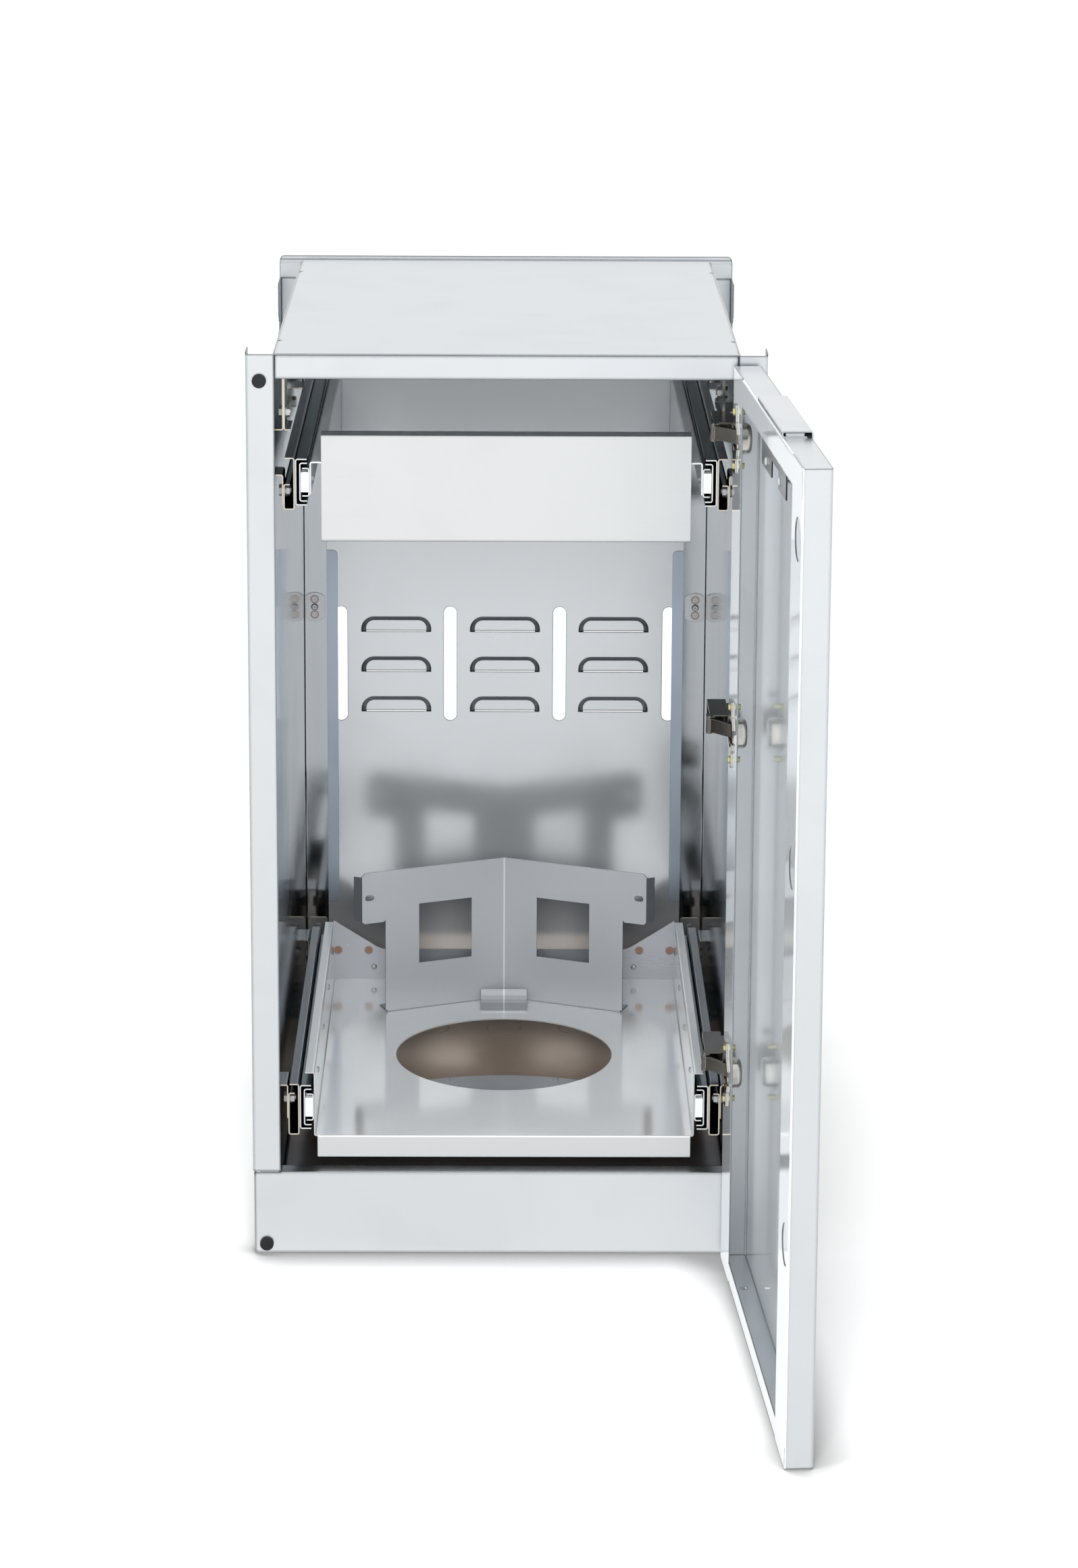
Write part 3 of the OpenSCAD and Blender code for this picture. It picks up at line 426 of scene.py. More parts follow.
def moulded(name, colour, roughness, speckle=0.03, bump=0.1):
    """Moulded plastic or rubber with a fine spark-eroded skin."""
    material, tree, surface = new_material(name)
    grain_out = group_node(tree, "Brushed grain", Stretch=(900.0, 900.0, 900.0))
    smudges = group_node(tree, "Handling smudges", Scale=45.0)["Mask"]
    tone = mix_colour(tree, grain_out["Tone"], shade(colour, 1.0 - speckle),
                      shade(colour, 1.0 + speckle))
    tone = mix_colour(tree, times(tree, smudges, 0.2), tone, shade(colour, 0.6))
    tree.links.new(tone, surface.inputs["Base Color"])
    rough = math_node(tree, "MULTIPLY_ADD", smudges, 0.15, roughness)
    tree.links.new(rough, surface.inputs["Roughness"])
    raised = add_node(tree, "ShaderNodeBump", {
        "Strength": bump, "Distance": 0.1 * MM, "Height": grain_out["Height"]}).outputs[0]
    tree.links.new(raised, surface.inputs["Normal"])
    return name, material


def door_axis():
    """The direction in which the open door's outer face points, from its own mesh."""
    total = {}
    for face in NODES["door_shell"].data.polygons:
        normal = face.normal
        if abs(normal.z) < 0.1:
            side = 1 if normal.x > 0 else -1
            key = (round(abs(normal.x), 2), round(normal.y * side, 2))
            total[key] = total.get(key, 0.0) + face.area
    return (*max(total, key=total.get), 0.0)


def weld_marks():
    """Heat marks of the rear joint plates and of the tray's rear wall, and the outlines
    of the floor pan's knock-outs, on the part's +X side."""
    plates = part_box("rear_joint_plates")
    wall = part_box("tray_rear_wall")
    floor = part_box("floor_pan")
    rings = [((plates[1].x - PLATE_WELD_INSET, plates[0].y, height), WELD_RADIUS, 0.15)
             for height in PLATE_WELD_HEIGHTS]
    spots = [((wall[1].x - inset, wall[0].y, wall[0].z + WALL_WELD_RISE), WELD_RADIUS, 0.9)
             for inset in WALL_WELD_INSETS]
    outlines = [((across, KNOCK_OUT_DEPTH, floor[0].z + 1 * MM), KNOCK_OUT_RADIUS, 0.0)
                for across in KNOCK_OUTS_ACROSS]
    return rings, spots, outlines


def cabinet_finishes(paint):
    """Every finish of the cabinet by its name here. Blender adds a number to the name
    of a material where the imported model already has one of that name."""
    rings, spots, outlines = weld_marks()
    return dict((
        # edge paints shade along the outer sheets' bends
        steel("outer_steel", paint.outer, 0.34, (2, 2, 1100), grain=0.02, smudge=0.03,
              edge=0.08, edge_light_amount=1.0, reach=2.6 * MM),
        # the top panel: the outer sheets' colour painted darker, painted shade
        steel("top_steel", shade(paint.outer, 0.88), 0.34, (2, 1100, 1100), grain=0.02,
              smudge=0.03, edge=0.3, edge_light_amount=0.9, reach=1.5 * MM),
        steel("door_steel", paint.door, 0.30, (2, 2, 1100), grain=0.02, smudge=0.04,
              edge=0.12, edge_light_amount=1.0, reach=2.0 * MM, metallic=0.9,
              inside=(door_axis(), 0.05, 0.56)),
        steel("inner_steel", paint.inner, 0.07, (2, 2, 800), grain=0.03, gloss_change=0.03,
              bump=0.02, smudge=0.10, edge=0.45, end_colour=linear(188, 193, 197)),
        # channels and hangers: the inner sheets' colour painted darker, painted shade of the
        # cabinet's inside
        steel("bent_steel", shade(paint.inner, 0.72), 0.16, (900, 2, 900), grain=0.04,
              smudge=0.10, edge=0.35, end_colour=linear(226, 216, 200)),
        steel("drawer_steel", paint.drawer, 0.22, (2, 900, 900), grain=0.03, smudge=0.05,
              edge=0.2, reach=2.4 * MM, metallic=0.45, end_colour=paint.drawer),
        steel("back_steel", paint.back, 0.16, (700, 700, 2), grain=0.01, gloss_change=0.0,
              bump=0.0, smudge=0.04, smudge_scale=5.0, edge=0.15, edge_light_amount=1.0,
              # tilt paints shade on the back's faces that turn away from the front, such as the
              # louvres
              reach=1.4 * MM, metallic=0.7, tilt=(0.985, 0.85, linear(84, 88, 92))),
        steel("stiffener_steel", paint.stiffener, 0.40, (600, 600, 2), grain=0.04,
              metallic=0.8, cut_colour=paint.cut_edge),
        steel("plate_steel", paint.plate, 0.30, (300, 300, 300), grain=0.04, smudge=0.08,
              edge=0.25, edge_light_amount=0.8, metallic=0.85, cut_colour=paint.cut_edge,
              heat=rings, heat_colour=paint.heat),
        steel("wall_steel", paint.wall, 0.24, (2, 900, 900), grain=0.03, metallic=0.7,
              cut_colour=paint.cut_edge, heat=spots, heat_colour=paint.heat),
        steel("support_steel", paint.support, 0.30, (2, 900, 900), grain=0.03, smudge=0.05,
              metallic=0.6),
        # edge paints highlights on the strip's edges
        steel("strip_steel", paint.strip, 0.16, (900, 900, 2), grain=0.04, edge=1.6),
        steel("floor_steel", paint.floor, 0.20, (2, 700, 700), smudge=0.12,
              smudge_scale=14.0, edge=0.35, edge_light_amount=0.8, metallic=0.65,
              heat=outlines, heat_colour=paint.heat,
              # painted shade on the floor pan's front under the tray, painted reflection tone at
              # its rear
              shade_fades=((240 * MM, 100 * MM, linear(96, 92, 92)),
                     (475 * MM, 495 * MM, linear(132, 132, 134)))),
        # end faces such as the tray's front lip painted darker: painted shade
        steel("tray_steel", paint.tray, 0.10, (900, 2, 900), grain=0.03, bump=0.03,
              smudge=0.05, smudge_scale=7.0, edge=0.35, edge_light_amount=0.8, reach=1.0 * MM,
              metallic=0.68, end_colour=linear(184, 186, 187)),
        # painted highlights on the bracket's edges and middle fold, painted shade on its flanges
        steel("bracket_steel", paint.bracket, 0.38, (2, 2, 900), grain=0.02,
              gloss_change=0.0, bump=0.0, smudge=0.04, edge=1.5, metallic=0.45,
              fold_light=(linear(226, 230, 233), linear(76, 79, 82))),
        steel("front_steel", paint.front, 0.30, (1.5, 1.5, 1500), gloss_change=0.14,
              bump=0.12, smudge=0.02, edge=0.6, reach=1.2 * MM, turn="Z"),
        steel("handle_steel", paint.handle, 0.30, (1100, 2, 1100), grain=0.03, edge=0.4,
              reach=1.0 * MM),
        # end faces painted bright: a painted highlight on the slides' edges
        steel("slide_zinc", paint.zinc, 0.18, (300, 2, 300), grain=0.06, bump=0.03,
              smudge=0.10, smudge_scale=30.0, end_colour=linear(244, 247, 247)),
        steel("cage_steel", paint.cage, 0.34, (300, 8, 300), grain=0.08, smudge=0.2),
        steel("nickel", paint.nickel, 0.13, (500, 500, 500), grain=0.03, bump=0.03,
              smudge=0.08, smudge_scale=60.0, edge=0.2, edge_light_amount=0.9, reach=0.8 * MM),
        # edge paints highlights on the arms' edges
        steel("arm_nickel", paint.arm_nickel, 0.14, (500, 500, 500), grain=0.03, bump=0.03,
              smudge=0.10, smudge_scale=60.0, edge=4.0, edge_light_amount=0.8, reach=0.8 * MM),
        steel("yellow_zinc", paint.yellow, 0.22, (900, 900, 900), grain=0.12, smudge=0.45,
              smudge_scale=220.0, edge=linear(150, 190, 120)),
        steel("screw_steel", paint.screw, 0.24, (900, 900, 900), smudge=0.12,
              smudge_scale=120.0),
        steel("foot_zinc", paint.foot, 0.30, (500, 500, 500), grain=0.06, smudge=0.2,
              smudge_scale=60.0),
        moulded("block_plastic", paint.block, 0.32),
        moulded("bumper_rubber", paint.rubber, 0.62, speckle=0.12, bump=0.2),
    ))


# nodes whose finish isn't the one that their material slot is named after
OWN_FINISH = {
    "top_panel": "top_steel", "door_shell": "door_steel", "drawer_box": "drawer_steel",
    "hinge_arms": "arm_nickel", "hinge_links": "arm_nickel",
    "hinge_mount_plates": "arm_nickel", "hanger_brackets": "bent_steel",
    "upper_slide_channels": "bent_steel", "lower_slide_channels": "bent_steel",
    "slide_wall_brackets": "bent_steel", "tray_rear_wall": "wall_steel",
    "tray_support_plate": "support_steel", "handle_backing_strip": "strip_steel",
}


class CABINET_OT_finishes(bpy.types.Operator):
    """Give every part of the cabinet its own finish"""
    bl_idname = "cabinet.finishes"
    bl_label = "Finishes"

    def execute(self, context):
        finishes = cabinet_finishes(context.scene.cabinet_colours)
        slots = {row["node"]: row["material_slot"] for row in frame["record"]["subparts"]}
        for node, obj in NODES.items():
            if not obj.material_slots:
                raise RuntimeError(f"{node} has no material slot")
            for slot in obj.material_slots:
                slot.link = "OBJECT"
                slot.material = finishes[OWN_FINISH.get(node, slots[node])]
        return {"FINISHED"}


# ---------------------------------------------------------------- fasteners
GEOMETRY, WHOLE = "NodeSocketGeometry", "NodeSocketInt"
SMALL_FACE = 3e-8                   # square metres; smaller faces are shaded smooth
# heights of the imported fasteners' heads, and how far the door's drawn heads are sunk
HINGE_HEAD, HANDLE_HEAD, BOLT_HEAD, RIVET_HEAD = 1.5 * MM, 1.4 * MM, 3.5 * MM, 1.2 * MM
HEAD_SINK = 0.1 * MM
BORE_INSET = 22.5 * MM              # from the door's edge to the middle of a bore
INSERT_RISE = 24 * MM               # from a bore's middle to each of its inserts
INSERT_DEPTH = 7.2 * MM             # from a hinge cup's inner end to the inserts' points
BALL_MARGIN = 4 * MM                # from a cage's ends to its first and last balls


def solids(node):
    """(lowest corner, highest corner) of each separate solid of a CAD node."""
    mesh = NODES[node].data
    keys, parent = {}, []

    def root(i):
        while parent[i] != i:
            parent[i] = parent[parent[i]]
            i = parent[i]
        return i

    where = []
    for vertex in mesh.vertices:
        key = tuple(round(c, 6) for c in vertex.co)
        if key not in keys:
            keys[key] = len(parent)
            parent.append(len(parent))
        where.append(keys[key])
    for face in mesh.polygons:
        first = root(where[face.vertices[0]])
        for corner in face.vertices[1:]:
            parent[root(where[corner])] = first
    boxes = {}
    for vertex in mesh.vertices:
        lo, hi = boxes.setdefault(root(where[vertex.index]), (vertex.co.copy(), vertex.co.copy()))
        for k in range(3):
            lo[k] = min(lo[k], vertex.co[k])
            hi[k] = max(hi[k], vertex.co[k])
    return sorted(boxes.values(), key=lambda b: (round(b[0].z, 4), round(b[0].x, 4), b[0].y))


def geometry_group(name, sizes):
    """A node group that works on points, with sizes as (name, type, default)."""
    return new_group(name, "GeometryNodeTree", [
        ("Geometry", GEOMETRY, None), *sizes, ("Material", "NodeSocketMaterial", None)],
        [("Geometry", GEOMETRY)])


def lifted(tree, geometry, height):
    return add_node(tree, "GeometryNodeTransform", {
        "Geometry": geometry, "Translation": xyz(tree, z=height)}).outputs[0]


def block(tree, *size):
    return add_node(tree, "GeometryNodeMeshCube", {"Size": xyz(tree, *size)}).outputs[0]


def cylinder(tree, vertices, radius, depth):
    return add_node(tree, "GeometryNodeMeshCylinder", {
        "Vertices": vertices, "Radius": radius, "Depth": depth}).outputs[0]


def sphere(tree, segments, rings, diameter):
    return add_node(tree, "GeometryNodeMeshUVSphere", {
        "Segments": segments, "Rings": rings, "Radius": times(tree, diameter, 0.5)}).outputs[0]


def cut_away(tree, body, *tools):
    node = add_node(tree, "GeometryNodeMeshBoolean", {"Mesh 1": body}, operation="DIFFERENCE")
    for tool in tools:
        tree.links.new(tool, node.inputs["Mesh 2"])
    return node.outputs[0]


def joined(tree, *parts):
    node = tree.nodes.new("GeometryNodeJoinGeometry")
    for part in parts:
        tree.links.new(part, node.inputs[0])
    return node.outputs[0]


def copies(tree, points, template, **settings):
    return add_node(tree, "GeometryNodeInstanceOnPoints", {
        "Points": points, "Instance": template, **settings}).outputs[0]


def put_out_painted(tree, given, out, geometry):
    painted = add_node(tree, "GeometryNodeSetMaterial", {
        "Geometry": geometry, "Material": given["Material"]}).outputs[0]
    put_out(tree, out, Geometry=painted)


def on_points(tree, given, out, template):
    """Puts the template on each point, its Z along the point's facing value."""
    facing = add_node(tree, "GeometryNodeInputNamedAttribute", {"Name": "facing"},
                      data_type="FLOAT_VECTOR").outputs["Attribute"]
    turn = add_node(tree, "FunctionNodeAlignRotationToVector", {"Vector": facing},
                    axis="Z").outputs[0]
    placed = copies(tree, given["Geometry"], template, Rotation=turn)
    real = add_node(tree, "GeometryNodeRealizeInstances", {0: placed}).outputs[0]
    put_out_painted(tree, given, out, real)


def screw_group():
    """A screw or bolt whose head stands on the point and whose shank goes the other way."""
    tree, given, out = geometry_group("Threaded fastener", [
        ("Head diameter", FLOAT, 7.0 * MM), ("Top diameter", FLOAT, 5.0 * MM),
        ("Head height", FLOAT, 1.6 * MM), ("Head sides", WHOLE, 32),
        ("Washer diameter", FLOAT, 0.0), ("Recess width", FLOAT, 0.9 * MM),
        ("Recess length", FLOAT, 3.4 * MM), ("Shank diameter", FLOAT, 3.4 * MM),
        ("Shank length", FLOAT, 10.0 * MM), ("Thread pitch", FLOAT, 1.0 * MM)])
    height, length, pitch = given["Head height"], given["Shank length"], given["Thread pitch"]
    head = add_node(tree, "GeometryNodeMeshCone", {
        "Vertices": given["Head sides"], "Radius Bottom": times(tree, given["Head diameter"], 0.5),
        "Radius Top": times(tree, given["Top diameter"], 0.5), "Depth": height}).outputs[0]
    bars = [block(tree, given["Recess length"], given["Recess width"], height),
            block(tree, given["Recess width"], given["Recess length"], height)]
    head = cut_away(tree, head, *(lifted(tree, bar, times(tree, height, 0.95)) for bar in bars))
    washer = cylinder(tree, 40, times(tree, given["Washer diameter"], 0.5),
                      times(tree, height, 0.25))
    washer = lifted(tree, washer, times(tree, height, 0.125))
    core = cylinder(tree, 24, times(tree, given["Shank diameter"], 0.42), length)
    core = lifted(tree, core, times(tree, length, -0.49))
    thread_radius = times(tree, given["Shank diameter"], 0.43)
    helix = add_node(tree, "GeometryNodeCurveSpiral", {
        "Resolution": 20, "Rotations": math_node(tree, "DIVIDE", length, pitch),
        "Start Radius": thread_radius, "End Radius": thread_radius,
        "Height": length}).outputs[0]
    ridge = add_node(tree, "GeometryNodeCurvePrimitiveCircle", {
        "Resolution": 4, "Radius": times(tree, pitch, 0.28)}, mode="RADIUS").outputs[0]
    thread = add_node(tree, "GeometryNodeCurveToMesh", {
        "Curve": helix, "Profile Curve": ridge, "Fill Caps": True}).outputs[0]
    thread = lifted(tree, thread, times(tree, length, -0.985))
    on_points(tree, given, out, joined(tree, head, washer, core, thread))


def rivet_group():
    """A blind rivet: a low domed head with the broken mandrel's dimple."""
    tree, given, out = geometry_group("Blind rivet", [
        ("Head diameter", FLOAT, 5.9 * MM), ("Head height", FLOAT, 1.1 * MM),
        ("Hole diameter", FLOAT, 1.7 * MM)])
    height = given["Head height"]
    flat = math_node(tree, "DIVIDE", height, times(tree, given["Head diameter"], 0.5))
    dome = add_node(tree, "GeometryNodeTransform", {
        "Geometry": sphere(tree, 32, 16, given["Head diameter"]),
        "Scale": xyz(tree, 1.0, 1.0, flat)}).outputs[0]
    hole = cylinder(tree, 20, times(tree, given["Hole diameter"], 0.5), height)
    hole = lifted(tree, hole, times(tree, height, 0.95))
    on_points(tree, given, out, cut_away(tree, dome, hole))


def ball_row_group():
    """Rows of balls: each point starts a row that runs away along Y."""
    tree, given, out = geometry_group("Slide balls", [
        ("Ball diameter", FLOAT, 1.8 * MM), ("Spacing", FLOAT, 7.0 * MM),
        ("Count", WHOLE, 50)])
    row = add_node(tree, "GeometryNodeMeshLine", {
        "Count": given["Count"], "Offset": xyz(tree, y=given["Spacing"])},
        mode="OFFSET").outputs[0]
    balls = copies(tree, row, sphere(tree, 12, 8, given["Ball diameter"]))
    placed = copies(tree, given["Geometry"], balls)
    real = add_node(tree, "GeometryNodeRealizeInstances", {0: placed}).outputs[0]
    smooth = add_node(tree, "GeometryNodeSetShadeSmooth", {0: real}).outputs[0]
    put_out_painted(tree, given, out, smooth)


def grown(name, group, points, slot, body, **sizes):
    """Runs a group on (place, facing) points and returns one plain mesh piece, in the
    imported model's own plain material of its slot. The names of sizes are the group's
    inputs, with underscores for spaces."""
    plain = bpy.data.materials[slot]
    mesh = bpy.data.meshes.new(name)
    mesh.from_pydata([tuple(place) for place, _ in points], [], [])
    facing = mesh.attributes.new("facing", "FLOAT_VECTOR", "POINT")
    for value, (_, direction) in zip(facing.data, points):
        value.vector = Vector(direction).normalized()
    seed = bpy.data.objects.new(name + "_points", mesh)
    bpy.context.scene.collection.objects.link(seed)
    modifier = seed.modifiers.new("Fasteners", "NODES")
    modifier.node_group = bpy.data.node_groups[group]
    names = {item.name: item.identifier for item in modifier.node_group.interface.items_tree
             if item.item_type == "SOCKET" and item.in_out == "INPUT"}
    modifier[names["Material"]] = plain
    for label, value in sizes.items():
        modifier[names[label.replace("_", " ")]] = value
    graph = bpy.context.evaluated_depsgraph_get()
    solid = bpy.data.meshes.new_from_object(seed.evaluated_get(graph))
    if len(solid.polygons) == 0:
        raise RuntimeError(f"{name} came out empty")
    bpy.data.objects.remove(seed)
    for face in solid.polygons:
        face.use_smooth = face.use_smooth or face.area < SMALL_FACE
    solid.materials.clear()
    solid.materials.append(plain)
    piece = bpy.data.objects.new(name, solid)
    bpy.context.scene.collection.objects.link(piece)
    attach(piece, body)
    return piece


def fasteners(name, points, body, head, recess, shank, sides=36, washer=0.1 * MM,
              slot="screw_steel"):
    """Threaded fasteners of one body, most of them round and without a real washer:
    head as its diameter, top diameter and height, the cross recess as width and
    length, and shank as its diameter, length and thread pitch."""
    return grown(name, "Threaded fastener", points, slot, body,
                 Head_diameter=head[0], Top_diameter=head[1], Head_height=head[2],
                 Head_sides=sides, Washer_diameter=washer,
                 Recess_width=recess[0], Recess_length=recess[1],
                 Shank_diameter=shank[0], Shank_length=shank[1], Thread_pitch=shank[2])


def middle(box):
    return (box[0] + box[1]) / 2


def away(box):
    """The direction from the cabinet's middle plane to a solid."""
    return Vector((1.0 if middle(box).x > 0 else -1.0, 0.0, 0.0))


def far_end(box):
    """The middle of a solid's face that lies farther from the middle plane."""
    centre = middle(box)
    centre.x = box[1].x if centre.x > 0 else box[0].x
    return centre


def door_points(node, head_height):
    """The points of the door's screws: each under its head, facing the door's inner side."""
    axis = Vector(door_axis())
    inset = head_height + HEAD_SINK
    return [(middle(box) - axis * ((box[1] - box[0]).x / 2 - inset), -axis)
            for box in solids(node)]


class CABINET_OT_hinge_screws(bpy.types.Operator):
    """Cross-head screws through the hinge cups' wings, with their threads inside the door"""
    bl_idname = "cabinet.hinge_screws"
    bl_label = "Hinge screws"

    def execute(self, context):
        sizes = context.scene.cabinet_sizes
        piece = fasteners("hinge_screws", door_points("hinge_cup_screws", HINGE_HEAD), "door",
                          head=(sizes.hinge_head, sizes.hinge_head * 0.72, 1.4 * MM),
                          recess=(0.9 * MM, 3.8 * MM),
                          shank=(sizes.hinge_shank, 9.4 * MM, sizes.hinge_pitch),
                          slot="yellow_zinc")
        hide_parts("hinge_cup_screws")
        return {"FINISHED"}


class CABINET_OT_bracket_bolts(bpy.types.Operator):
    """Hex bolts and nuts that hold the slide channels and the hangers"""
    bl_idname = "cabinet.bracket_bolts"
    bl_label = "Bracket bolts"

    def execute(self, context):
        sizes = context.scene.cabinet_sizes
        hexagon = {"sides": 6, "washer": 11.4 * MM, "recess": (0.2 * MM, 0.2 * MM)}
        bolts = [(far_end(box) - away(box) * BOLT_HEAD, away(box))
                 for box in solids("bracket_bolts")]
        nuts = [(far_end(box), -away(box)) for box in solids("bracket_nuts")]
        heads = fasteners("bracket_bolt_set", bolts, "cabinet", **hexagon,
                          head=(sizes.bolt_head, sizes.bolt_head * 0.94, 3.4 * MM),
                          shank=(sizes.bolt_shank, 7.6 * MM, sizes.bolt_pitch))
        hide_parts("bracket_bolts")
        hex_nuts = fasteners("bracket_nut_set", nuts, "cabinet", **hexagon,
                             head=(sizes.bolt_head, sizes.bolt_head * 0.9, 3.9 * MM),
                             shank=(sizes.bolt_shank, 0.5 * MM, sizes.bolt_pitch))
        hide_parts("bracket_nuts")
        return {"FINISHED"}


class CABINET_OT_corner_screws(bpy.types.Operator):
    """Pan-head screws in the rear corner plates"""
    bl_idname = "cabinet.corner_screws"
    bl_label = "Corner screws"

    def execute(self, context):
        sizes = context.scene.cabinet_sizes
        points = [(Vector((middle(box).x, box[1].y, middle(box).z)), (0, -1, 0))
                  for box in solids("rear_joint_screws")]
        piece = fasteners("corner_screws", points, "cabinet",
                          head=(sizes.pan_head, sizes.pan_head * 0.62, 2.3 * MM),
                          recess=(1.0 * MM, 3.6 * MM), shank=(3.0 * MM, 1.0 * MM, 1.0 * MM))
        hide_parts("rear_joint_screws")
        return {"FINISHED"}


class CABINET_OT_handle_screws(bpy.types.Operator):
    """Screws that clamp the handle through the strip behind it"""
    bl_idname = "cabinet.handle_screws"
    bl_label = "Handle screws"

    def execute(self, context):
        piece = fasteners("handle_screw_set", door_points("handle_screws", HANDLE_HEAD), "door",
                          head=(7.8 * MM, 5.4 * MM, 1.4 * MM), recess=(1.0 * MM, 3.8 * MM),
                          shank=(3.8 * MM, 18.5 * MM, 0.8 * MM))
        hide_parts("handle_screws")
        return {"FINISHED"}


class CABINET_OT_drawer_screws(bpy.types.Operator):
    """Low screws that hold the drawer to its inner rails"""
    bl_idname = "cabinet.drawer_screws"
    bl_label = "Drawer screws"

    def execute(self, context):
        points = [(far_end(box), -away(box)) for box in solids("drawer_side_screws")]
        piece = fasteners("drawer_screw_set", points, "drawer",
                          head=(6.9 * MM, 4.6 * MM, 1.9 * MM), recess=(0.9 * MM, 3.2 * MM),
                          shank=(3.0 * MM, 0.8 * MM, 0.8 * MM))
        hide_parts("drawer_side_screws")
        return {"FINISHED"}


class CABINET_OT_tray_rivets(bpy.types.Operator):
    """Blind rivets along the tray's sides, its rear wall and the plate under it"""
    bl_idname = "cabinet.tray_rivets"
    bl_label = "Tray rivets"

    def execute(self, context):
        points = []
        for box in solids("tray_rivets"):
            extent, centre = box[1] - box[0], middle(box)
            thin = min(range(3), key=lambda k: extent[k])
            if thin == 0:
                points.append((far_end(box), -away(box)))
            elif thin == 1:
                points.append((Vector((centre.x, box[1].y, centre.z)), (0, -1, 0)))
            else:
                points.append((Vector((centre.x, centre.y, box[1].z - RIVET_HEAD)), (0, 0, 1)))
        piece = grown("tray_rivet_set", "Blind rivet", points, "screw_steel", "tray",
                      Head_diameter=context.scene.cabinet_sizes.rivet_head,
                      Head_height=1.15 * MM, Hole_diameter=1.7 * MM)
        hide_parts("tray_rivets")
        return {"FINISHED"}


class CABINET_OT_slide_balls(bpy.types.Operator):
    """Rows of bright balls along the slides' cages"""
    bl_idname = "cabinet.slide_balls"
    bl_label = "Slide balls"

    def execute(self, context):
        sizes = context.scene.cabinet_sizes
        for node, body in (("drawer_ball_cages", "drawer_middle"),
                           ("tray_ball_cages", "tray_middle")):
            cages = solids(node)
            length = cages[0][1].y - cages[0][0].y - 2 * BALL_MARGIN
            points = []
            for box in cages:
                inside = box[0].x if away(box).x > 0 else box[1].x
                start = Vector((inside, box[0].y + BALL_MARGIN, middle(box).z))
                points.append((start, (0, 0, 1)))
            grown(body + "_balls", "Slide balls", points, "screw_steel", body,
                  Ball_diameter=sizes.ball, Spacing=sizes.ball_step,
                  Count=int(length / sizes.ball_step))
        return {"FINISHED"}


class CABINET_OT_catch_inserts(bpy.types.Operator):
    """Threaded inserts above and below the spare bores at the door's free edge"""
    bl_idname = "cabinet.catch_inserts"
    bl_label = "Catch inserts"

    def execute(self, context):
        insert_head = context.scene.cabinet_sizes.insert_head
        axis = Vector(door_axis())
        along = Vector((-axis.y, axis.x, 0.0))
        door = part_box("door_shell")
        length = (door[1].y - door[0].y) / abs(along.y)
        points = []
        for box in solids("hinge_cups"):
            near = middle(box) + axis * (INSERT_DEPTH - (box[1].x - box[0].x) / 2)
            spare = near - along * (length - 2 * BORE_INSET)
            points += [(spare + Vector((0, 0, rise)), -axis)
                       for rise in (-INSERT_RISE, INSERT_RISE)]
        fasteners("catch_insert_set", points, "door", sides=32, washer=6.4 * MM,
                  head=(insert_head, insert_head * 0.8, 1.0 * MM),
                  recess=(0.8 * MM, 3.0 * MM), shank=(3.4 * MM, 8.0 * MM, 0.9 * MM))
        return {"FINISHED"}


# ---------------------------------------------------------------- stage
WHITE = (1, 1, 1, 1)
FLOOR_REACH = 14.0                  # from the cabinet's front to each of the floor's edges
POOL_RADIUS = 3.3                   # how far the lights' pool on the floor reaches
CAMERA_PLACE = Vector((-5.772, -3638.794, 1465.436)) * MM
CAMERA_TILT, CAMERA_YAW, CAMERA_ROLL = 0.21733, -0.00957, -0.005153    # radians
CAMERA_SHIFT = -0.15                # share of the picture's longer side
# each light's name, place, aim, width and height, and the setting of its power
LIGHTS = (
    ("top_light", (-0.1, 0.20, 3.3), (-0.1, 0.20, 0.0), 0.6, 0.6, "key"),
    ("front_light", (0.0, -3.0, 1.40), (0.0, 0.3, 0.35), 1.4, 0.8, "fill"),
    ("side_light", (-2.4, -1.9, 1.30), (0.1, 0.1, 0.42), 1.0, 1.0, "side"),
)


def camera_matrix(place, tilt, yaw, roll):
    """A camera that looks along +Y, tilted down, then turned and rolled."""
    spin = Matrix.Rotation(yaw, 3, "Z")
    forward = spin @ Vector((0, math.cos(tilt), -math.sin(tilt)))
    down = spin @ Vector((0, -math.sin(tilt), -math.cos(tilt)))
    right = spin @ Vector((1, 0, 0))
    rolled_right = math.cos(roll) * right + math.sin(roll) * down
    rolled_down = -math.sin(roll) * right + math.cos(roll) * down
    matrix = Matrix((rolled_right, -rolled_down, -forward)).transposed().to_4x4()
    matrix.translation = place
    return matrix


def area_light(name, place, aim, width, height, power):
    data = bpy.data.lights.new(name, "AREA")
    data.shape = "RECTANGLE"
    data.size, data.size_y = width, height
    data.energy = power
    lamp = bpy.data.objects.new(name, data)
    bpy.context.scene.collection.objects.link(lamp)
    lamp.location = place
    lamp.rotation_euler = (Vector(aim) - Vector(place)).to_track_quat("-Z", "Y").to_euler()
    lamp.visible_camera = False
    lamp.visible_glossy = False


def emission(tree, strength):
    return add_node(tree, "ShaderNodeEmission", {
        "Color": WHITE, "Strength": strength}).outputs[0]


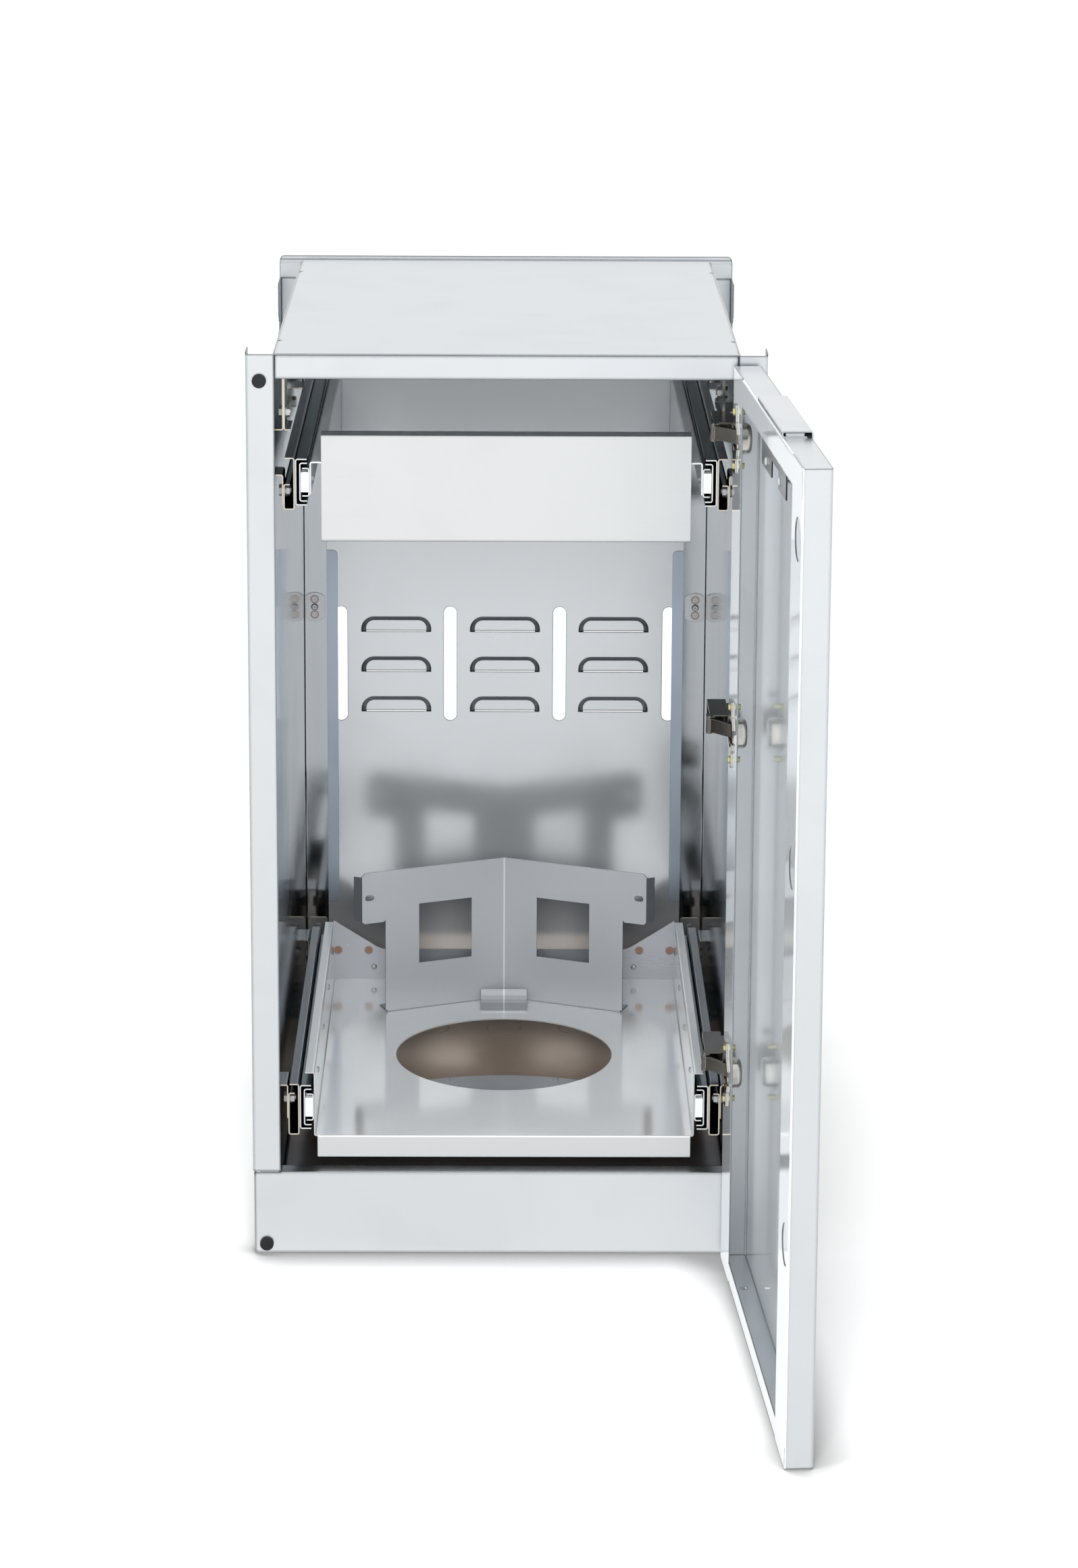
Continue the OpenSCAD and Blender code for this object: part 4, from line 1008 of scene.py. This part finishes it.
def floor_material():
    """White floor: the camera also sees a glow that grows with the distance, a painted
    contact shadow from ambient occlusion darkens floor and glow where the cabinet stands,
    and mirrors see a nearly even brightness."""
    material, tree, surface = new_material("studio_white")
    surface.inputs["Roughness"].default_value = 0.9
    surface.inputs["Specular IOR Level"].default_value = 0.1
    path = add_node(tree, "ShaderNodeLightPath").outputs
    place = coordinate(tree, "Object")
    distance = math_node(tree, "DIVIDE", measure(tree, "LENGTH", place), POOL_RADIUS)
    pool = math_node(tree, "POWER", math_node(
        tree, "MULTIPLY_ADD", distance, distance, 1.0), -2.0)
    open_air = add_node(tree, "ShaderNodeAmbientOcclusion", {"Distance": 0.05},
                        samples=16).outputs["AO"]
    # painted contact shadow: the floor darkened by its ambient occlusion
    contact_shadow = ramp(tree, open_air, 0.50, 0.99, 0.40, 1.0)
    cloud = mix_colour(tree, noise(tree, place, 0.8), (0.80, 0.80, 0.80), (0.82, 0.82, 0.82))
    tree.links.new(mix_colour(tree, contact_shadow, (0.0, 0.0, 0.0), cloud),
                   surface.inputs["Base Color"])
    lift = math_node(tree, "MULTIPLY_ADD", pool, -0.58, 0.62)
    glow = emission(tree, times(tree, times(tree, path["Is Camera Ray"], lift), contact_shadow))
    lit = add_node(tree, "ShaderNodeAddShader", {0: surface.outputs[0], 1: glow}).outputs[0]
    mirrored = emission(tree, math_node(tree, "MULTIPLY_ADD", pool, -0.22, 1.14))
    shown = add_node(tree, "ShaderNodeMixShader", {
        0: path["Is Glossy Ray"], 1: lit, 2: mirrored}).outputs[0]
    tree.links.new(shown, tree.nodes["Material Output"].inputs["Surface"])
    return material


def studio_floor():
    mesh = bpy.data.meshes.new("studio_floor")
    corners = [(x * FLOOR_REACH, y * FLOOR_REACH, 0)
               for x, y in ((-1, -1), (1, -1), (1, 1), (-1, 1))]
    mesh.from_pydata(corners, [], [(0, 1, 2, 3)])
    mesh.materials.append(floor_material())
    floor = bpy.data.objects.new("studio_floor", mesh)
    bpy.context.scene.collection.objects.link(floor)


def studio_room(ambient):
    """A white room: full strength where it is seen, and ambient for its soft light."""
    world = bpy.data.worlds.new("studio_room")
    bpy.context.scene.world = world
    world.use_nodes = True
    tree = world.node_tree
    path = add_node(tree, "ShaderNodeLightPath").outputs
    seen = math_node(tree, "MAXIMUM", math_node(
        tree, "MAXIMUM", path["Is Camera Ray"], path["Is Glossy Ray"]),
        path["Is Transmission Ray"])
    sky = tree.nodes["Background"]
    sky.inputs["Color"].default_value = WHITE
    tree.links.new(ramp(tree, seen, 0.0, 1.0, ambient, 1.0), sky.inputs["Strength"])


class CABINET_OT_stage(bpy.types.Operator):
    """Pale floor, white room, soft lights and the camera"""
    bl_idname = "cabinet.stage"
    bl_label = "Studio"

    def execute(self, context):
        studio, scene = context.scene.cabinet_studio, context.scene
        studio_floor()
        studio_room(studio.ambient)
        for *light, setting in LIGHTS:
            area_light(*light, getattr(studio, setting))
        data = bpy.data.cameras.new("studio_camera")
        data.lens = studio.lens
        data.shift_y = CAMERA_SHIFT
        data.clip_end = 100.0
        camera = bpy.data.objects.new("studio_camera", data)
        scene.collection.objects.link(camera)
        camera.matrix_world = camera_matrix(CAMERA_PLACE, CAMERA_TILT, CAMERA_YAW, CAMERA_ROLL)
        scene.camera = camera
        scene.view_settings.view_transform = "Standard"
        return {"FINISHED"}


# ---------------------------------------------------------------- panel and start
GROUPS = (brushed_grain_group, smudge_group, softened_edge_and_light_group, cut_edge_group, heat_ring_group,
          fold_light_group, screw_group, rivet_group, ball_row_group)
STEPS = ("finishes", "hinge_screws", "bracket_bolts", "corner_screws", "handle_screws",
         "drawer_screws", "tray_rivets", "slide_balls", "catch_inserts", "stage")


class CABINET_PT_panel(bpy.types.Panel):
    """Lists the steps that dress the cabinet"""
    bl_idname = "CABINET_PT_panel"
    bl_label = "Bottle Cabinet"
    bl_space_type = "VIEW_3D"
    bl_region_type = "UI"
    bl_category = "Cabinet"

    def draw(self, context):
        layout = self.layout
        for step in STEPS:
            layout.operator("cabinet." + step)
        for group in ("cabinet_colours", "cabinet_sizes", "cabinet_studio"):
            settings = getattr(context.scene, group)
            box = layout.box()
            for name in settings.bl_rna.properties.keys():
                if name not in ("rna_type", "name"):
                    box.prop(settings, name)


CLASSES = (CabinetColours, CabinetSizes, CabinetStudio, CABINET_OT_finishes,
           CABINET_OT_hinge_screws, CABINET_OT_bracket_bolts, CABINET_OT_corner_screws,
           CABINET_OT_handle_screws, CABINET_OT_drawer_screws, CABINET_OT_tray_rivets,
           CABINET_OT_slide_balls, CABINET_OT_catch_inserts, CABINET_OT_stage,
           CABINET_PT_panel)


def register():
    for cls in CLASSES:
        bpy.utils.register_class(cls)
    bpy.types.Scene.cabinet_colours = bpy.props.PointerProperty(type=CabinetColours)
    bpy.types.Scene.cabinet_sizes = bpy.props.PointerProperty(type=CabinetSizes)
    bpy.types.Scene.cabinet_studio = bpy.props.PointerProperty(type=CabinetStudio)


def unregister():
    del bpy.types.Scene.cabinet_studio
    del bpy.types.Scene.cabinet_sizes
    del bpy.types.Scene.cabinet_colours
    for cls in reversed(CLASSES):
        bpy.utils.unregister_class(cls)


def main():
    register()
    for build in GROUPS:
        build()
    for step in STEPS:
        getattr(bpy.ops.cabinet, step)()


if __name__ == "__main__":
    main()
